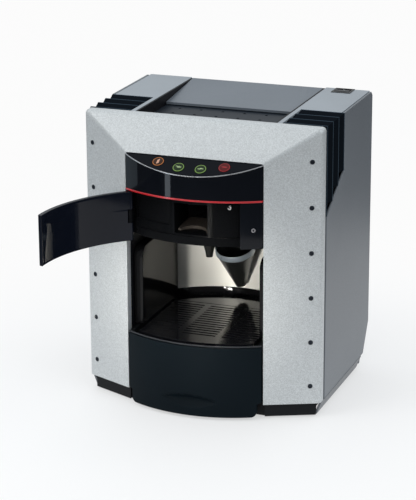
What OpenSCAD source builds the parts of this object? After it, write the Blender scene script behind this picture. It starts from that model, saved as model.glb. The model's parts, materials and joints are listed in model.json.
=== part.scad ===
// Pod coffee machine with a swing-open capsule door, a cup bay and a drip drawer.
// A user who faces the front has +X on the right. Y runs from the front to the back, Z is up,
// and the floor is Z = 0. Lengths are in millimetres.

/* [Body] */
// Width over the side panels
body_w = 305; // [303:1:307]
// Height over the top rails
body_h = 364; // [363:1:366]
// Depth from the frame's outer edge to the rear cover
body_d = 209; // [209:1:212]
// Thickness of the outer panels
wall = 3; // [2.5:0.1:3.2]
// Where the frame's outer edge stands, measured from the middle of the floor space
front_y = -23.5; // [-26:0.5:-20]

/* [Front frame] */
// Half the width of the front opening
opening_half = 88; // [87:0.5:89]
// Height of the opening's top edge
opening_top = 322.7; // [321:0.1:324]
// How far the opening's edge stands forward of the frame's outer edge
frame_rise = 29.4; // [27:0.1:31]
// Height of the frame's bottom edge
frame_bottom = 19; // [18:0.5:20]
// How far the frame's rim turns back
frame_return = 12; // [10:1:13]
// Number of frame screws on each side
screws_per_side = 6; // [4:1:7]
// Distance between frame screws
screw_pitch = 56.5; // [50:0.5:57]

/* [Curved front] */
// How far the curved front bulges beyond the opening's edge
bulge = 25; // [24:0.5:26]
// Half the width of the curved front pieces
front_half = 87.4; // [87:0.1:87.5]
// Downward tilt of the control panel
panel_tilt = 30; // [28:1:32]
// Height of the red strip's lower edge
strip_z = 276.3; // [276:0.1:277]
// Radius of a push button
button_r = 7.2; // [6:0.1:7.4]
// Travel of a push button
button_travel = 1.2; // [0.8:0.1:1.5]

/* [Door] */
// Lower edge of the door
door_z0 = 213; // [212:0.5:215]
// Upper edge of the door
door_z1 = 275; // [273:0.5:275]
// Where the door's free edge lies across the front when it is shut
door_free_x = 62; // [60:0.5:62]
// Thickness of the door
door_t = 5.5; // [5:0.1:6]
// How far the door stands open
door_open = 111; // [0:1:111]

/* [Cup bay] */
// Height of the deck that the cup stands on
deck_z = 96; // [95:0.5:97]
// Height of the underside of the brew housing
housing_z = 219; // [218:0.5:220]
// Half the clear width between the side cheeks
bay_half = 76; // [75:0.5:77]

/* [Hidden] */
$fn = 48;

half_w = body_w / 2;
rear_y = front_y + body_d;
edge_y = front_y - frame_rise;
// radius and centre of the upright cylinder that all curved front pieces lie on
front_r = (opening_half * opening_half + bulge * bulge) / (2 * bulge);
front_c = edge_y - bulge + front_r;
side_slope = atan(frame_rise / (half_w - opening_half));
eps = 0.5;

// top of the tilted control panel where it meets the opening's edge
panel_top = opening_top - 1;
panel_t = 3;
trim_t = 1.7;
trim_w = 1.5;
fascia_t = 3;
strip_h = 2.3;
fascia_z = strip_z + strip_h;
button_hole_r = button_r + 0.3;
// places of the buttons: across, and behind the frame's outer edge
button_places = [[-42, -37.5], [-14, -43], [14, -43], [42, -37.5]];

// door hinge axis, and the radius of its barrel
hinge_x = -82;
hinge_y = edge_y - 1;
barrel_r = 3.6;
pin_r = 1.5;
run_fit = 0.05;
lug_z0 = 236;
lug_z1 = 252;
catch_x = 49;

slot_half = 21;
slot_z0 = 231;
slot_z1 = 269;
housing_inset = 13;

screw_edge = 11.7;
screw_top = 324.4;

chamfer_top = 57.5;
chamfer_in = 23;
skirt_in = 6.5;
skirt_z = 2;
// inner end, depth at the outer end and thickness of the plinth
plinth_in = 88.5;
plinth_d = 3;
plinth_t = 6;
skirt_d = 6;
vent_front = 17;
vent_rear = 87;
vent_low_front = 250.6;
vent_low_rear = 290.7;
rail_in = 91;
well_front = frame_return + 0.2;
well_t = 2.4;
seam = 0.9;
deck_top = 350;
deck_rear = 120;
deck_hole_r = 2;
tray_z = 8;
tray_t = 3;
wall_x = 88.5;
wall_t = 1.5;

lid_axis_y = front_y + 202.4;
lid_axis_z = 361.4;
lid_front_y = front_y + 108.5;
lid_rear_y = front_y + 204.2;
lid_front_z = 354;
lid_half = 88.2;

grid_half = 74.5;
grid_back = 96.5;
tub_half = 83;
tub_back = 197;
bin_front = 152;

// distance behind the frame's outer edge, as a Y coordinate
function at(d) = front_y + d;
// height of the control panel's top face at a distance behind the frame's outer edge
function panel_height(d) = panel_top + (d + frame_rise) * tan(panel_tilt);
// height of the side vent's lower edge at a distance behind the frame's outer edge
function vent_low(d) = vent_low_front
  + (vent_low_rear - vent_low_front) * (d - vent_front) / (vent_rear - vent_front);

// ---------- shared shapes ----------

module block(x0, x1, y0, y1, z0, z1) {
  translate([x0, y0, z0]) cube([x1 - x0, y1 - y0, z1 - z0]);
}

// an outline drawn in Y and Z, extruded across the machine
module across(x0, x1) {
  translate([x0, 0, 0]) rotate([90, 0, 90]) linear_extrude(x1 - x0) children();
}

// an outline drawn in X and Z, extruded towards the back
module backwards(y0, y1) {
  translate([0, y1, 0]) rotate([90, 0, 0]) linear_extrude(y1 - y0) children();
}

module mirrored() {
  children();
  mirror([1, 0, 0]) children();
}

module side(s) {
  mirror([s < 0 ? 1 : 0, 0, 0]) children();
}

module front_cylinder(inset, z0, z1) {
  translate([0, front_c, z0]) cylinder(r = front_r - inset, h = z1 - z0, $fn = 180);
}

// a piece of the curved front between two insets from its outer surface
module curved_plate(x0, x1, z0, z1, inset0, inset1) {
  intersection() {
    difference() {
      front_cylinder(inset0, z0, z1);
      front_cylinder(inset1, z0 - eps, z1 + eps);
    }
    block(x0, x1, edge_y - bulge - 10, edge_y + 24, z0 - 1, z1 + 1);
  }
}

// a layer parallel to the tilted control panel, between two depths along its normal
module panel_layer(d0, d1) {
  translate([0, edge_y, panel_top]) rotate([panel_tilt, 0, 0]) block(-120, 120, -120, 40, d0, d1);
}

module at_button(i) {
  p = button_places[i];
  translate([p[0], at(p[1]), panel_height(p[1])]) rotate([panel_tilt, 0, 0]) children();
}

// ---------- front frame ----------

module frame_screw_places() {
  for (i = [0:screws_per_side - 1])
    mirrored()
      translate([half_w - screw_edge, front_y - screw_edge * tan(side_slope), screw_top - i * screw_pitch])
        rotate([0, 0, side_slope]) rotate([90, 0, 0]) children();
}

// the solid behind the four sloping faces, moved in by t
module frame_wedge(t) {
  w = half_w - t;
  intersection() {
    translate([0, 0, frame_bottom + t]) linear_extrude(body_h - frame_bottom - 2 * t)
      polygon([
        [-w, front_y + frame_return + t], [-w, front_y + t], [-opening_half, edge_y + t],
        [opening_half, edge_y + t], [w, front_y + t], [w, front_y + frame_return + t]
      ]);
    across(-half_w, half_w)
      polygon([
        [front_y + frame_return + t, frame_bottom + t], [edge_y + t, frame_bottom + t],
        [edge_y + t, opening_top], [front_y + t, body_h - t], [front_y + frame_return + t, body_h - t]
      ]);
  }
}

module frame_opening(grow) {
  block(-opening_half - grow, opening_half + grow, edge_y - 20, front_y + 40, frame_bottom - 20,
    opening_top + grow);
}

module front_frame() {
  color("silver") difference() {
    union() {
      difference() {
        frame_wedge(0);
        frame_wedge(wall);
      }
      intersection() {
        difference() {
          frame_opening(2);
          block(-200, 200, edge_y + 12, front_y + 60, 0, 400);
        }
        frame_wedge(0);
      }
    }
    frame_opening(0);
    frame_screw_places() {
      translate([0, 0, -30]) cylinder(r = 1.7, h = 40);
      translate([0, 0, -1.6]) cylinder(r = 3.4, h = 10);
    }
  }
}

module frame_screws() {
  color("dimgray") frame_screw_places() difference() {
    union() {
      translate([0, 0, -1.5]) cylinder(r = 3, h = 1.6);
      translate([0, 0, -15]) cylinder(r = 1.5, h = 14);
    }
    translate([0, 0, -1]) cylinder(r = 1.4, h = 2, $fn = 6);
  }
}

module frame_carriers() {
  color([0.07, 0.08, 0.09]) difference() {
    mirrored() {
      block(124, half_w - wall, at(5), at(13), frame_bottom + 8, body_h - 12);
      block(half_w - 2 * wall, half_w - wall, at(12), at(30), frame_bottom + 8, vent_low_front - 4);
    }
    frame_screw_places() translate([0, 0, -30]) cylinder(r = 1.6, h = 40);
  }
}

// ---------- casing ----------

module side_outline() {
  polygon([
    [at(vent_front), frame_bottom], [at(vent_front), vent_low_front], [at(vent_rear), vent_low_rear],
    [at(vent_rear), body_h], [rear_y - 5, body_h], [rear_y, body_h - 5], [rear_y, chamfer_top],
    [rear_y - chamfer_in, frame_bottom]
  ]);
}

module side_panel() {
  color([0.43, 0.45, 0.48]) across(half_w - wall, half_w) side_outline();
}

module side_panel_left() { side(-1) side_panel(); }
module side_panel_right() { side(1) side_panel(); }

module base_skirts() {
  color([0.40, 0.42, 0.45]) intersection() {
    mirrored() backwards(at(skirt_d), at(178))
      polygon([
        [half_w, frame_bottom - 0.2], [half_w - skirt_in, skirt_z], [half_w - skirt_in - wall, skirt_z],
        [half_w - wall, frame_bottom - 0.2]
      ]);
    across(-half_w, half_w)
      polygon([
        [at(0), 0], [at(176), 0], [rear_y - chamfer_in, frame_bottom], [at(0), frame_bottom]
      ]);
  }
}

// one half of the plinth, parallel to the frame's slope
module plinth_half() {
  outer = half_w - skirt_in - 0.6;
  inner_d = plinth_d - (outer - plinth_in) * tan(side_slope);
  translate([0, 0, skirt_z]) linear_extrude(frame_bottom - 0.2 - skirt_z)
    polygon([
      [plinth_in, at(inner_d)], [outer, at(plinth_d)], [outer, at(skirt_d - 0.1)],
      [outer - wall - 0.2, at(skirt_d - 0.1)], [outer - wall - 0.2, at(plinth_d) + plinth_t],
      [plinth_in, at(inner_d) + plinth_t + 4]
    ]);
}

module base_tray() {
  color([0.08, 0.09, 0.10]) difference() {
    union() {
      block(-142, 142, at(8), at(176), tray_z, tray_z + tray_t);
      block(-plinth_in - 1, plinth_in + 1, at(-20), at(9), tray_z, tray_z + tray_t);
      block(-plinth_in - 0.5, plinth_in + 0.5, at(-20), at(-14), skirt_z, frame_bottom - 0.2);
      mirrored() plinth_half();
      mirrored() block(139, 142, at(frame_return + 0.2), at(176), tray_z, frame_bottom + 6);
      mirrored() block(85, 88, at(8), at(170), tray_z, tray_z + 12);
    }
    mirrored() for (d = [22, 168]) translate([130, at(d), 0]) cylinder(r = 2.6, h = 40);
  }
}

module feet() {
  color([0.05, 0.05, 0.05]) mirrored() for (d = [22, 168]) translate([130, at(d), 0]) {
    cylinder(r = 9, h = 5);
    cylinder(r = 7, h = tray_z);
    cylinder(r = 2.5, h = 14);
    translate([0, 0, tray_z + tray_t]) cylinder(r = 5, h = 3);
  }
}

rear_top = body_h - 3;
inlet_x = -104;
inlet_z = 90;

module rear_cover() {
  color([0.40, 0.42, 0.45]) difference() {
    across(-half_w + wall, half_w - wall)
      polygon([
        [rear_y - wall, rear_top], [rear_y, rear_top], [rear_y, chamfer_top],
        [rear_y - chamfer_in, frame_bottom], [rear_y - chamfer_in - 6.6, 8],
        [rear_y - chamfer_in - 9.6, 8], [rear_y - chamfer_in - wall, frame_bottom],
        [rear_y - wall, chamfer_top]
      ]);
    for (i = [0:8]) block(-60, 60, rear_y - 8, rear_y + 2, 150 + i * 12, 154 + i * 12);
    block(inlet_x - 14.2, inlet_x + 14.2, rear_y - 8, rear_y + 2, inlet_z - 11.2, inlet_z + 11.2);
    rear_screw_places() cylinder(r = 1.7, h = 20, center = true);
  }
}

module rear_screw_places() {
  for (x = [-138, 138], z = [80, 200, 345])
    translate([x, rear_y, z]) rotate([-90, 0, 0]) children();
}

module rear_screws() {
  color("dimgray") rear_screw_places() difference() {
    union() {
      cylinder(r = 3, h = 1.6);
      translate([0, 0, -9]) cylinder(r = 1.5, h = 9.5);
    }
    translate([0, 0, 0.6]) cylinder(r = 1.4, h = 2, $fn = 6);
  }
}

// upright inner wall beside the cup bay, notched for the hose
module inner_wall() {
  color([0.10, 0.11, 0.12]) difference() {
    union() {
      block(wall_x, wall_x + wall_t, at(-12), at(152), frame_bottom + wall + 0.2, 340);
      block(wall_x, wall_x + wall_t, at(frame_return + 0.2), at(152), tray_z + tray_t, frame_bottom + wall + 1);
    }
    block(wall_x - 1, wall_x + 3, at(30), at(60), 298, 326);
  }
}

module inner_wall_left() { side(-1) inner_wall(); }
module inner_wall_right() { side(1) inner_wall(); }

// ---------- top ----------

switch_x = 117;
switch_d = 197.5;
switch_half_x = 11;
switch_half_y = 13;

module rail_plate() {
  block(rail_in, half_w - wall - seam, at(vent_rear), rear_y - 0.2, body_h - wall, body_h);
  block(rail_in, rail_in + 6, at(well_front), at(vent_rear) + 1, body_h - wall, body_h);
  block(rail_in, rail_in + 2, at(well_front), at(204), deck_top + 2, body_h - wall + 0.5);
}

module top_rail_left() {
  color([0.60, 0.63, 0.66]) side(-1) rail_plate();
}

module top_rail_right() {
  color([0.60, 0.63, 0.66]) difference() {
    rail_plate();
    translate([switch_x, at(switch_d), 0])
      block(-switch_half_x, switch_half_x, -switch_half_y + 2.5, switch_half_y - 4, 340, 380);
  }
}

blade_pitch = 23;
blade_dip = 4.4;
vent_in = 97.4;

// one louvre blade: it folds over the casing's top edge and down its side
module vent_blade(d0, d1) {
  low = vent_low(d1) + 1;
  rise = blade_dip * (d1 - d0) / blade_pitch;
  difference() {
    intersection() {
      across(vent_in, half_w)
        polygon([
          [at(d0), low], [at(d1), low], [at(d1), body_h - 0.3], [at(d0), body_h - 0.3 - rise]
        ]);
      translate([0, 0, low]) linear_extrude(body_h - low)
        polygon([
          [vent_in, at(d0)], [half_w - 0.2 - rise, at(d0)], [half_w - 0.2, at(d1)], [vent_in, at(d1)]
        ]);
    }
    block(vent_in - 1, half_w - 7, at(d0) - 1, at(d1) + 1, low - 1, body_h - 7);
  }
}

module vent() {
  color([0.05, 0.06, 0.07]) {
    for (i = [0:3]) {
      d1 = vent_rear - i * blade_pitch;
      vent_blade(max(d1 - blade_pitch, vent_front - 3.9), d1 - 0.05);
    }
    across(half_w - 7, half_w - 6)
      polygon([
        [at(13.1), vent_low(13.1) - 2], [at(vent_rear), vent_low_rear - 2], [at(vent_rear), body_h - 8],
        [at(13.1), body_h - 8]
      ]);
    block(vent_in, half_w - 7, at(5), at(14), body_h - 8, body_h - 4.5);
  }
}

module vent_left() { side(-1) vent(); }
module vent_right() { side(1) vent(); }

module top_well() {
  color([0.04, 0.04, 0.05]) difference() {
    union() {
      mirrored() block(rail_in - well_t, rail_in - 0.02, at(well_front), at(205), deck_top - 4, body_h - 0.4);
      mirrored() block(84, rail_in - well_t, at(well_front + 1), at(deck_rear), deck_top - 4, deck_top - 2.05);
      block(-rail_in + 0.02, rail_in - 0.02, at(well_front), at(well_front + 2), deck_top - 4, body_h - 0.6);
    }
    translate([0, lid_axis_y, lid_axis_z]) rotate([0, 90, 0]) cylinder(r = 1.22, h = 200, center = true);
  }
}

module warmer_deck() {
  color([0.25, 0.28, 0.31]) difference() {
    block(-lid_half, lid_half, at(well_front + 2.2), at(deck_rear), deck_top - 2, deck_top);
    for (x = [-65:28.5:78], d = [21:25:96])
      translate([x, at(d), deck_top - 3]) cylinder(r = deck_hole_r, h = 5, $fn = 24);
  }
}

module tank_lid() {
  color([0.50, 0.53, 0.56]) difference() {
    union() {
      across(-lid_half, lid_half)
        polygon([
          [lid_rear_y, body_h], [lid_front_y, lid_front_z], [lid_front_y, deck_top + 1],
          [lid_front_y + 2.5, deck_top + 1], [lid_front_y + 2.5, lid_front_z - 2],
          [lid_rear_y - 6, body_h - 3.6], [lid_rear_y, body_h - 2.4]
        ]);
      mirrored() for (x = [40, 70]) translate([x, lid_axis_y, lid_axis_z]) rotate([0, 90, 0])
        cylinder(r = 2.5, h = 18.2);
    }
    translate([0, lid_axis_y, lid_axis_z]) rotate([0, 90, 0]) cylinder(r = 1.25, h = 200, center = true);
  }
}

module lid_hinge_pin() {
  color("silver") translate([0, lid_axis_y, lid_axis_z]) rotate([0, 90, 0])
    cylinder(r = 1.2, h = 2 * rail_in - 0.6, center = true);
}

module switch_bezel() {
  color([0.03, 0.03, 0.03]) translate([switch_x, at(switch_d), body_h]) difference() {
    union() {
      block(-switch_half_x - 1.5, switch_half_x + 1.5, -switch_half_y, switch_half_y - 2.5, 0, 0.8);
      block(-switch_half_x + 0.2, switch_half_x - 0.2, -switch_half_y + 2.7, switch_half_y - 4.8, -14, 0.1);
    }
    block(-switch_half_x + 1.5, switch_half_x - 1.5, -switch_half_y + 4, switch_half_y - 5.5, -12, 3);
  }
}

rocker_y = at(switch_d) - 0.75;
rocker_tilt = 6;

module power_switch() {
  color([0.06, 0.06, 0.06]) translate([switch_x, rocker_y, body_h - 3]) rotate([-rocker_tilt, 0, 0])
    intersection() {
      rotate([0, 90, 0]) cylinder(r = 8.2, h = 2 * switch_half_x - 3.6, center = true);
      rotate([-rocker_tilt, 0, 0]) block(-20, 20, -20, 20, -5, 4.2);
      rotate([rocker_tilt, 0, 0]) block(-20, 20, -20, 20, -5, 4.2);
    }
}

// ---------- curved front ----------

module control_panel() {
  color([0.03, 0.04, 0.05]) difference() {
    intersection() {
      panel_layer(-panel_t, 0);
      front_cylinder(trim_w, opening_top - 40, opening_top + 10);
      block(-front_half, front_half, edge_y - bulge - 5, edge_y + 1, 280, 340);
    }
    for (i = [0:3]) at_button(i) cylinder(r = button_hole_r, h = 20, center = true);
  }
}

module panel_trim() {
  color("gainsboro") intersection() {
    panel_layer(-trim_t, 0.25);
    difference() {
      front_cylinder(-0.3, 280, 340);
      front_cylinder(trim_w, 279, 341);
    }
    block(-front_half, front_half, edge_y - bulge - 5, edge_y, 280, 340);
  }
}

module upper_fascia() {
  color([0.03, 0.04, 0.05]) {
    difference() {
      curved_plate(-front_half, front_half, fascia_z, 340, 0, trim_w);
      panel_layer(-trim_t, 60);
      block(-100, 100, edge_y - 0.2, edge_y + 60, opening_top - 2, 400);
    }
    difference() {
      curved_plate(-front_half, front_half, fascia_z, 340, trim_w, fascia_t);
      panel_layer(-panel_t, 60);
      block(-100, 100, edge_y - 0.2, edge_y + 60, opening_top - 4, 400);
    }
    difference() {
      mirrored() block(front_half - 2.4, front_half, edge_y + 2, at(-8), fascia_z, opening_top - 4);
      panel_layer(-panel_t, 60);
    }
  }
}

module red_strip() {
  color([0.75, 0.16, 0.18]) curved_plate(-front_half, front_half, strip_z, fascia_z, -0.8, 4);
}

module button_board() {
  color([0.05, 0.30, 0.15]) intersection() {
    panel_layer(-11.6, -10);
    front_cylinder(fascia_t + 2, 280, 330);
    block(-58, 58, edge_y - 20, edge_y - 3, 280, 330);
  }
}

module push_button(i, tint) {
  color(tint) at_button(i) {
    translate([0, 0, -5]) cylinder(r = button_r, h = 5.6);
    translate([0, 0, -5]) cylinder(r = button_r + 1.2, h = 1.4);
    translate([0, 0, -8.4]) cylinder(r = 2.5, h = 4);
  }
}

module button_power() { push_button(0, [0.80, 0.45, 0.20]); }
module button_short_cup() { push_button(1, [0.45, 0.60, 0.25]); }
module button_long_cup() { push_button(2, [0.45, 0.60, 0.25]); }
module button_stop() { push_button(3, [0.55, 0.10, 0.12]); }

module jamb_panel() {
  color([0.03, 0.04, 0.05]) difference() {
    union() {
      curved_plate(door_free_x + 1.2, front_half, housing_z, strip_z - 0.1, 0, 3);
      block(front_half - 2.4, front_half, edge_y + 2, at(-17.5), housing_z, strip_z - 0.1);
    }
    jamb_screw_place() cylinder(r = 1.7, h = 30, center = true);
    jamb_screw_place() translate([0, 0, 0.1]) cylinder(r = 3, h = 10);
  }
}

module jamb_screw_place() {
  translate([77, at(-34), 242.4]) rotate([90, 0, asin(77 / front_r)]) children();
}

module jamb_screw() {
  color("gray") jamb_screw_place() difference() {
    union() {
      translate([0, 0, 0.2]) cylinder(r = 2.6, h = 2.2);
      translate([0, 0, -18]) cylinder(r = 1.5, h = 19);
    }
    translate([0, 0, 1.4]) cylinder(r = 1.2, h = 4, $fn = 6);
  }
}

// ---------- door ----------

module hinge_axis(z0, z1, r) {
  translate([hinge_x, hinge_y, z0]) cylinder(r = r, h = z1 - z0);
}

module brew_door() {
  color([0.04, 0.06, 0.10])
    translate([hinge_x, hinge_y, 0]) rotate([0, 0, -door_open]) translate([-hinge_x, -hinge_y, 0])
      difference() {
        union() {
          curved_plate(hinge_x, door_free_x, door_z0, door_z1, 0, door_t);
          hinge_axis(door_z0, door_z1, barrel_r);
        }
        hinge_axis(lug_z0 - 0.4, lug_z1 + 0.4, barrel_r + 0.5);
        hinge_axis(door_z0 - 1, door_z1 + 1, pin_r + run_fit);
        intersection() {
          block(catch_x - 8, catch_x + 8, edge_y - bulge, edge_y, 263, door_z1 - 1.4);
          front_cylinder(door_t - 4, 200, 300);
        }
      }
}

module door_hinge_pin() {
  color("silver") hinge_axis(door_z0 + 2, door_z1 - 1, pin_r);
}

module door_catch() {
  color("white") {
    difference() {
      block(catch_x - 3.5, catch_x + 3.5, at(-43.4), at(-33), 266.5, 269.5);
      front_cylinder(housing_inset - 2, 260, 275);
    }
    block(catch_x - 3.5, catch_x + 3.5, at(-44.4), at(-42), 265, 272);
  }
}

// ---------- brew side ----------

module brew_housing() {
  color([0.04, 0.04, 0.05]) difference() {
    union() {
      difference() {
        intersection() {
          front_cylinder(housing_inset, housing_z, strip_z - 0.1);
          block(-front_half, front_half, edge_y - bulge, at(8), housing_z, strip_z - 0.1);
        }
        difference() {
          intersection() {
            front_cylinder(housing_inset + 3, housing_z + 3, strip_z - 3);
            block(-front_half + 3, front_half - 3, edge_y - bulge, at(9), housing_z + 3, strip_z - 3);
          }
          block(-slot_half - 3, slot_half + 3, edge_y - bulge, at(20), housing_z, strip_z);
        }
        curved_plate(-76, -28, 240, 268, housing_inset - 1, housing_inset + 1.6);
      }
      curved_plate(29, 60, slot_z0, 272, housing_inset - 2, housing_inset + 1);
      curved_plate(-70, front_half, housing_z, slot_z0 - 2, housing_inset - 2, housing_inset + 1);
      block(hinge_x - 2.5, hinge_x + 2.5, hinge_y, at(-16), lug_z0, lug_z1);
      hinge_axis(lug_z0, lug_z1, barrel_r);
    }
    hinge_axis(lug_z0 - 1, lug_z1 + 1, pin_r + 0.02);
    block(-slot_half, slot_half, edge_y - bulge, at(20), slot_z0, slot_z1);
    jamb_screw_place() cylinder(r = 1.6, h = 40, center = true);
  }
}

module capsule_cradle() {
  color([0.30, 0.24, 0.18]) difference() {
    across(-slot_half + 0.5, slot_half - 0.5)
      polygon([[at(-30), slot_z0 + 0.2], [at(-30), slot_z0 + 3], [at(8), slot_z0 + 7], [at(8), slot_z0 + 0.2]]);
    translate([0, at(-34), slot_z0 - 5]) cylinder(r = 17, h = 20);
  }
}

group_y = 26;
piston_r = 16;

module brew_group() {
  color([0.55, 0.56, 0.58]) difference() {
    union() {
      block(-32, 32, at(8.2), at(62), 224, 300);
      translate([0, at(group_y), 299]) cylinder(r = 22, h = 8);
    }
    block(-slot_half, slot_half, at(0), at(70), slot_z0, slot_z1);
    translate([0, at(group_y), 260]) cylinder(r = piston_r + run_fit, h = 60);
    translate([0, at(group_y), 200]) cylinder(r = 3, h = 50);
  }
}

module brew_piston() {
  color("silver") translate([0, at(group_y), 0]) {
    translate([0, 0, 284]) cylinder(r = piston_r, h = 16);
    translate([0, 0, 299]) cylinder(r = 6, h = 22);
  }
}

module coffee_spout() {
  color([0.06, 0.06, 0.05]) translate([0, at(group_y - 2), 0]) rotate_extrude()
    polygon([[2, 184], [4.2, 184], [5, 190], [9, 205], [9, 218.9], [2, 218.9]]);
}

funnel_y = 121;
funnel_z = 162.6;
funnel_lean = 21.6;
funnel_r = 25;
funnel_l = 54;
funnel_tip_y = funnel_y + funnel_l * sin(funnel_lean);

// a leaning cone of sheet steel, held by a small bracket on the wall behind it
module drain_funnel() {
  color("gainsboro") {
    translate([0, at(funnel_y), funnel_z]) rotate([funnel_lean, 0, 0]) rotate_extrude($fn = 96)
      polygon([
        [6, -funnel_l], [7.2, -funnel_l], [funnel_r, 0], [funnel_r + 1, 1], [funnel_r + 1, 8],
        [funnel_r, 9], [funnel_r - 1.5, 9], [funnel_r - 1.5, 0.5]
      ]);
    difference() {
      block(-6, 6, at(funnel_y) + 12, at(splash_rear - splash_t) - 0.25, 163, 173);
      translate([0, at(funnel_y), funnel_z]) rotate([funnel_lean, 0, 0]) rotate_extrude($fn = 96)
        polygon([[0, -40], [7.2 + 12, -14], [funnel_r - 0.5, 0], [funnel_r + 0.5, 1], [funnel_r + 0.5, 20], [0, 20]]);
    }
  }
}

module chute_outline(t) {
  polygon([
    [at(62.2 - t), 229 + t], [at(62.2 - t), 262 - t], [at(198 - t), 262 - t], [at(198 - t), 96.5 - t],
    [at(155 + t), 96.5 - t], [at(155 + t), 222 + t]
  ]);
}

module capsule_chute() {
  color([0.25, 0.26, 0.28]) difference() {
    across(-24, 24) chute_outline(0);
    across(-22, 22) chute_outline(2);
    block(-22, 22, at(60), at(64.5), 231, 260);
    block(-22, 22, at(157), at(196), 90, 100);
  }
}

// ---------- cup bay ----------

splash_z0 = 104;
splash_t = 1.2;
splash_rear = 150;
splash_side = 112;
splash_half = 87;
// radius of the bay's curved back, from half its width and its depth
splash_sag = splash_rear - splash_side;
splash_r = (splash_half * splash_half + splash_sag * splash_sag) / (2 * splash_sag);

// a part of the bay's curved back, between two distances in front of it
module bay_back(inset0, inset1, z0, z1) {
  intersection() {
    translate([0, at(splash_rear) - splash_r, z0]) difference() {
      cylinder(r = splash_r - inset0, h = z1 - z0, $fn = 120);
      translate([0, 0, -eps]) cylinder(r = splash_r - inset1, h = z1 - z0 + 2 * eps, $fn = 120);
    }
    block(-splash_half, splash_half, at(splash_side), at(splash_rear + 10), z0 - 1, z1 + 1);
  }
}

module backsplash() {
  color("gainsboro") bay_back(0, splash_t, splash_z0, housing_z - 0.2);
}

cheek_top = 198;
cheek_front = -8;
cheek_r = 14;

module bay_cheeks() {
  color([0.02, 0.02, 0.02]) mirrored() across(bay_half, wall_x) {
    translate([at(cheek_front), deck_z + 1]) square([splash_side - cheek_front, cheek_top - cheek_r - deck_z - 1]);
    translate([at(cheek_front + cheek_r), deck_z + 1])
      square([splash_side - cheek_front - cheek_r, cheek_top - deck_z - 1]);
    translate([at(cheek_front + cheek_r), cheek_top - cheek_r]) circle(r = cheek_r);
  }
}

module bay_ceiling() {
  color([0.03, 0.03, 0.03]) difference() {
    block(-opening_half, opening_half, at(8.2), at(152), housing_z, housing_z + 2);
    translate([0, at(group_y - 2), 200]) cylinder(r = 3, h = 40);
  }
}

// the floor behind the grid, with a curved upstand that carries the steel back
module bay_floor() {
  color([0.03, 0.03, 0.03]) {
    difference() {
      block(-opening_half, opening_half, at(98), at(152), deck_z - 3, deck_z);
      translate([0, at(funnel_tip_y), 80]) cylinder(r = 10, h = 30);
    }
    bay_back(-1.6, splash_t, deck_z - 1, splash_z0 - 0.1);
    bay_back(-1.6, -0.1, splash_z0 - 0.2, splash_z0 + 6);
  }
}

// ---------- drawer ----------

drawer_low = 4;
recess_z = 23;

drawer_half = 86.4;
drawer_low_half = 81.5;
drawer_low_r = 6;

// full width above the frame's foot, and narrower with rounded corners below it
module drawer_outline() {
  h = drawer_low_half;
  r = drawer_low_r;
  translate([-drawer_half, frame_bottom + 1.2]) square([2 * drawer_half, deck_z - frame_bottom - 1.2]);
  translate([-h + r, drawer_low]) square([2 * (h - r), 40]);
  mirrored() translate([h - r, drawer_low + r]) circle(r = r);
  translate([-h, drawer_low + r]) square([2 * h, 30]);
}

module drawer_front() {
  color([0.11, 0.15, 0.18]) difference() {
    intersection() {
      curved_plate(-drawer_half, drawer_half, drawer_low, deck_z, -1, 3);
      backwards(edge_y - bulge - 5, edge_y + 30) drawer_outline();
    }
    translate([0, edge_y - bulge - 34, recess_z]) rotate([90, 0, 0])
      intersection() {
        translate([0, 62, -60]) cylinder(r = 70, h = 60, $fn = 128);
        translate([0, -62, -60]) cylinder(r = 70, h = 60, $fn = 128);
      }
  }
  color([0.11, 0.15, 0.18]) difference() {
    curved_plate(-39, 39, recess_z - 11, recess_z + 11, 2.9, 12);
    curved_plate(-37, 37, recess_z - 9, recess_z + 9, 0, 10);
  }
  color([0.11, 0.15, 0.18]) curved_plate(-78, 78, deck_z - 5, deck_z - 2, 2.9, 9);
}

// what lies in front of the rear cover's folded inner face, less a gap
module within_rear(gap) {
  y = rear_y - wall - gap;
  intersection() {
    children();
    across(-100, 100)
      polygon([
        [at(-60), 0], [y - chamfer_in, frame_bottom], [y, chamfer_top], [y, housing_z], [at(-60), housing_z]
      ]);
  }
}

module drawer_tub() {
  tub_front = -28;
  color([0.05, 0.06, 0.07]) difference() {
    union() {
      within_rear(1) block(-tub_half, tub_half, at(tub_front), at(tub_back), 21, 89);
      intersection() {
        mirrored() block(50, 54, edge_y - bulge, at(tub_front + 0.1), 24, 84);
        front_cylinder(3.02, 20, 90);
      }
      mirrored() block(grid_half + 0.8, opening_half - 1.6, at(tub_front + 4), at(grid_back - 0.5), 86, deck_z - 0.5);
    }
    block(-tub_half + 2, tub_half - 2, at(tub_front + 2), at(97), 23, 100);
    within_rear(3.2) block(-60, 60, at(bin_front - 1), at(tub_back - 2), 23, 100);
    block(-tub_half + 2, tub_half - 2, at(99), at(bin_front - 3), 23, 100);
  }
  color([0.05, 0.06, 0.07]) mirrored() block(grid_half - 6, grid_half + 1, at(tub_front + 2), at(97), 85, 88);
}

module drip_grid() {
  slot_l = 44;
  color([0.03, 0.03, 0.04]) difference() {
    intersection() {
      front_cylinder(9.4, deck_z - 5, deck_z);
      block(-grid_half, grid_half, edge_y - bulge, at(grid_back), 88.2, deck_z);
    }
    block(-grid_half + 3, grid_half - 3, at(-24), at(grid_back - 3), 80, deck_z - 2.5);
    for (d = [-18:8:86], x = [-52.5, 0, 52.5])
      block(x - slot_l / 2, x + slot_l / 2, at(d), at(d + 3), 80, 100);
  }
}

module capsule_bin() {
  color([0.30, 0.33, 0.36]) difference() {
    within_rear(3.8) block(-59, 59, at(bin_front), at(tub_back - 3), 23.4, 86);
    within_rear(6) block(-57, 57, at(bin_front + 2), at(tub_back - 5), 25.4, 100);
  }
}

// ---------- inside ----------

tank_z0 = 262.05;
tank_z1 = 340.4;

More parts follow.
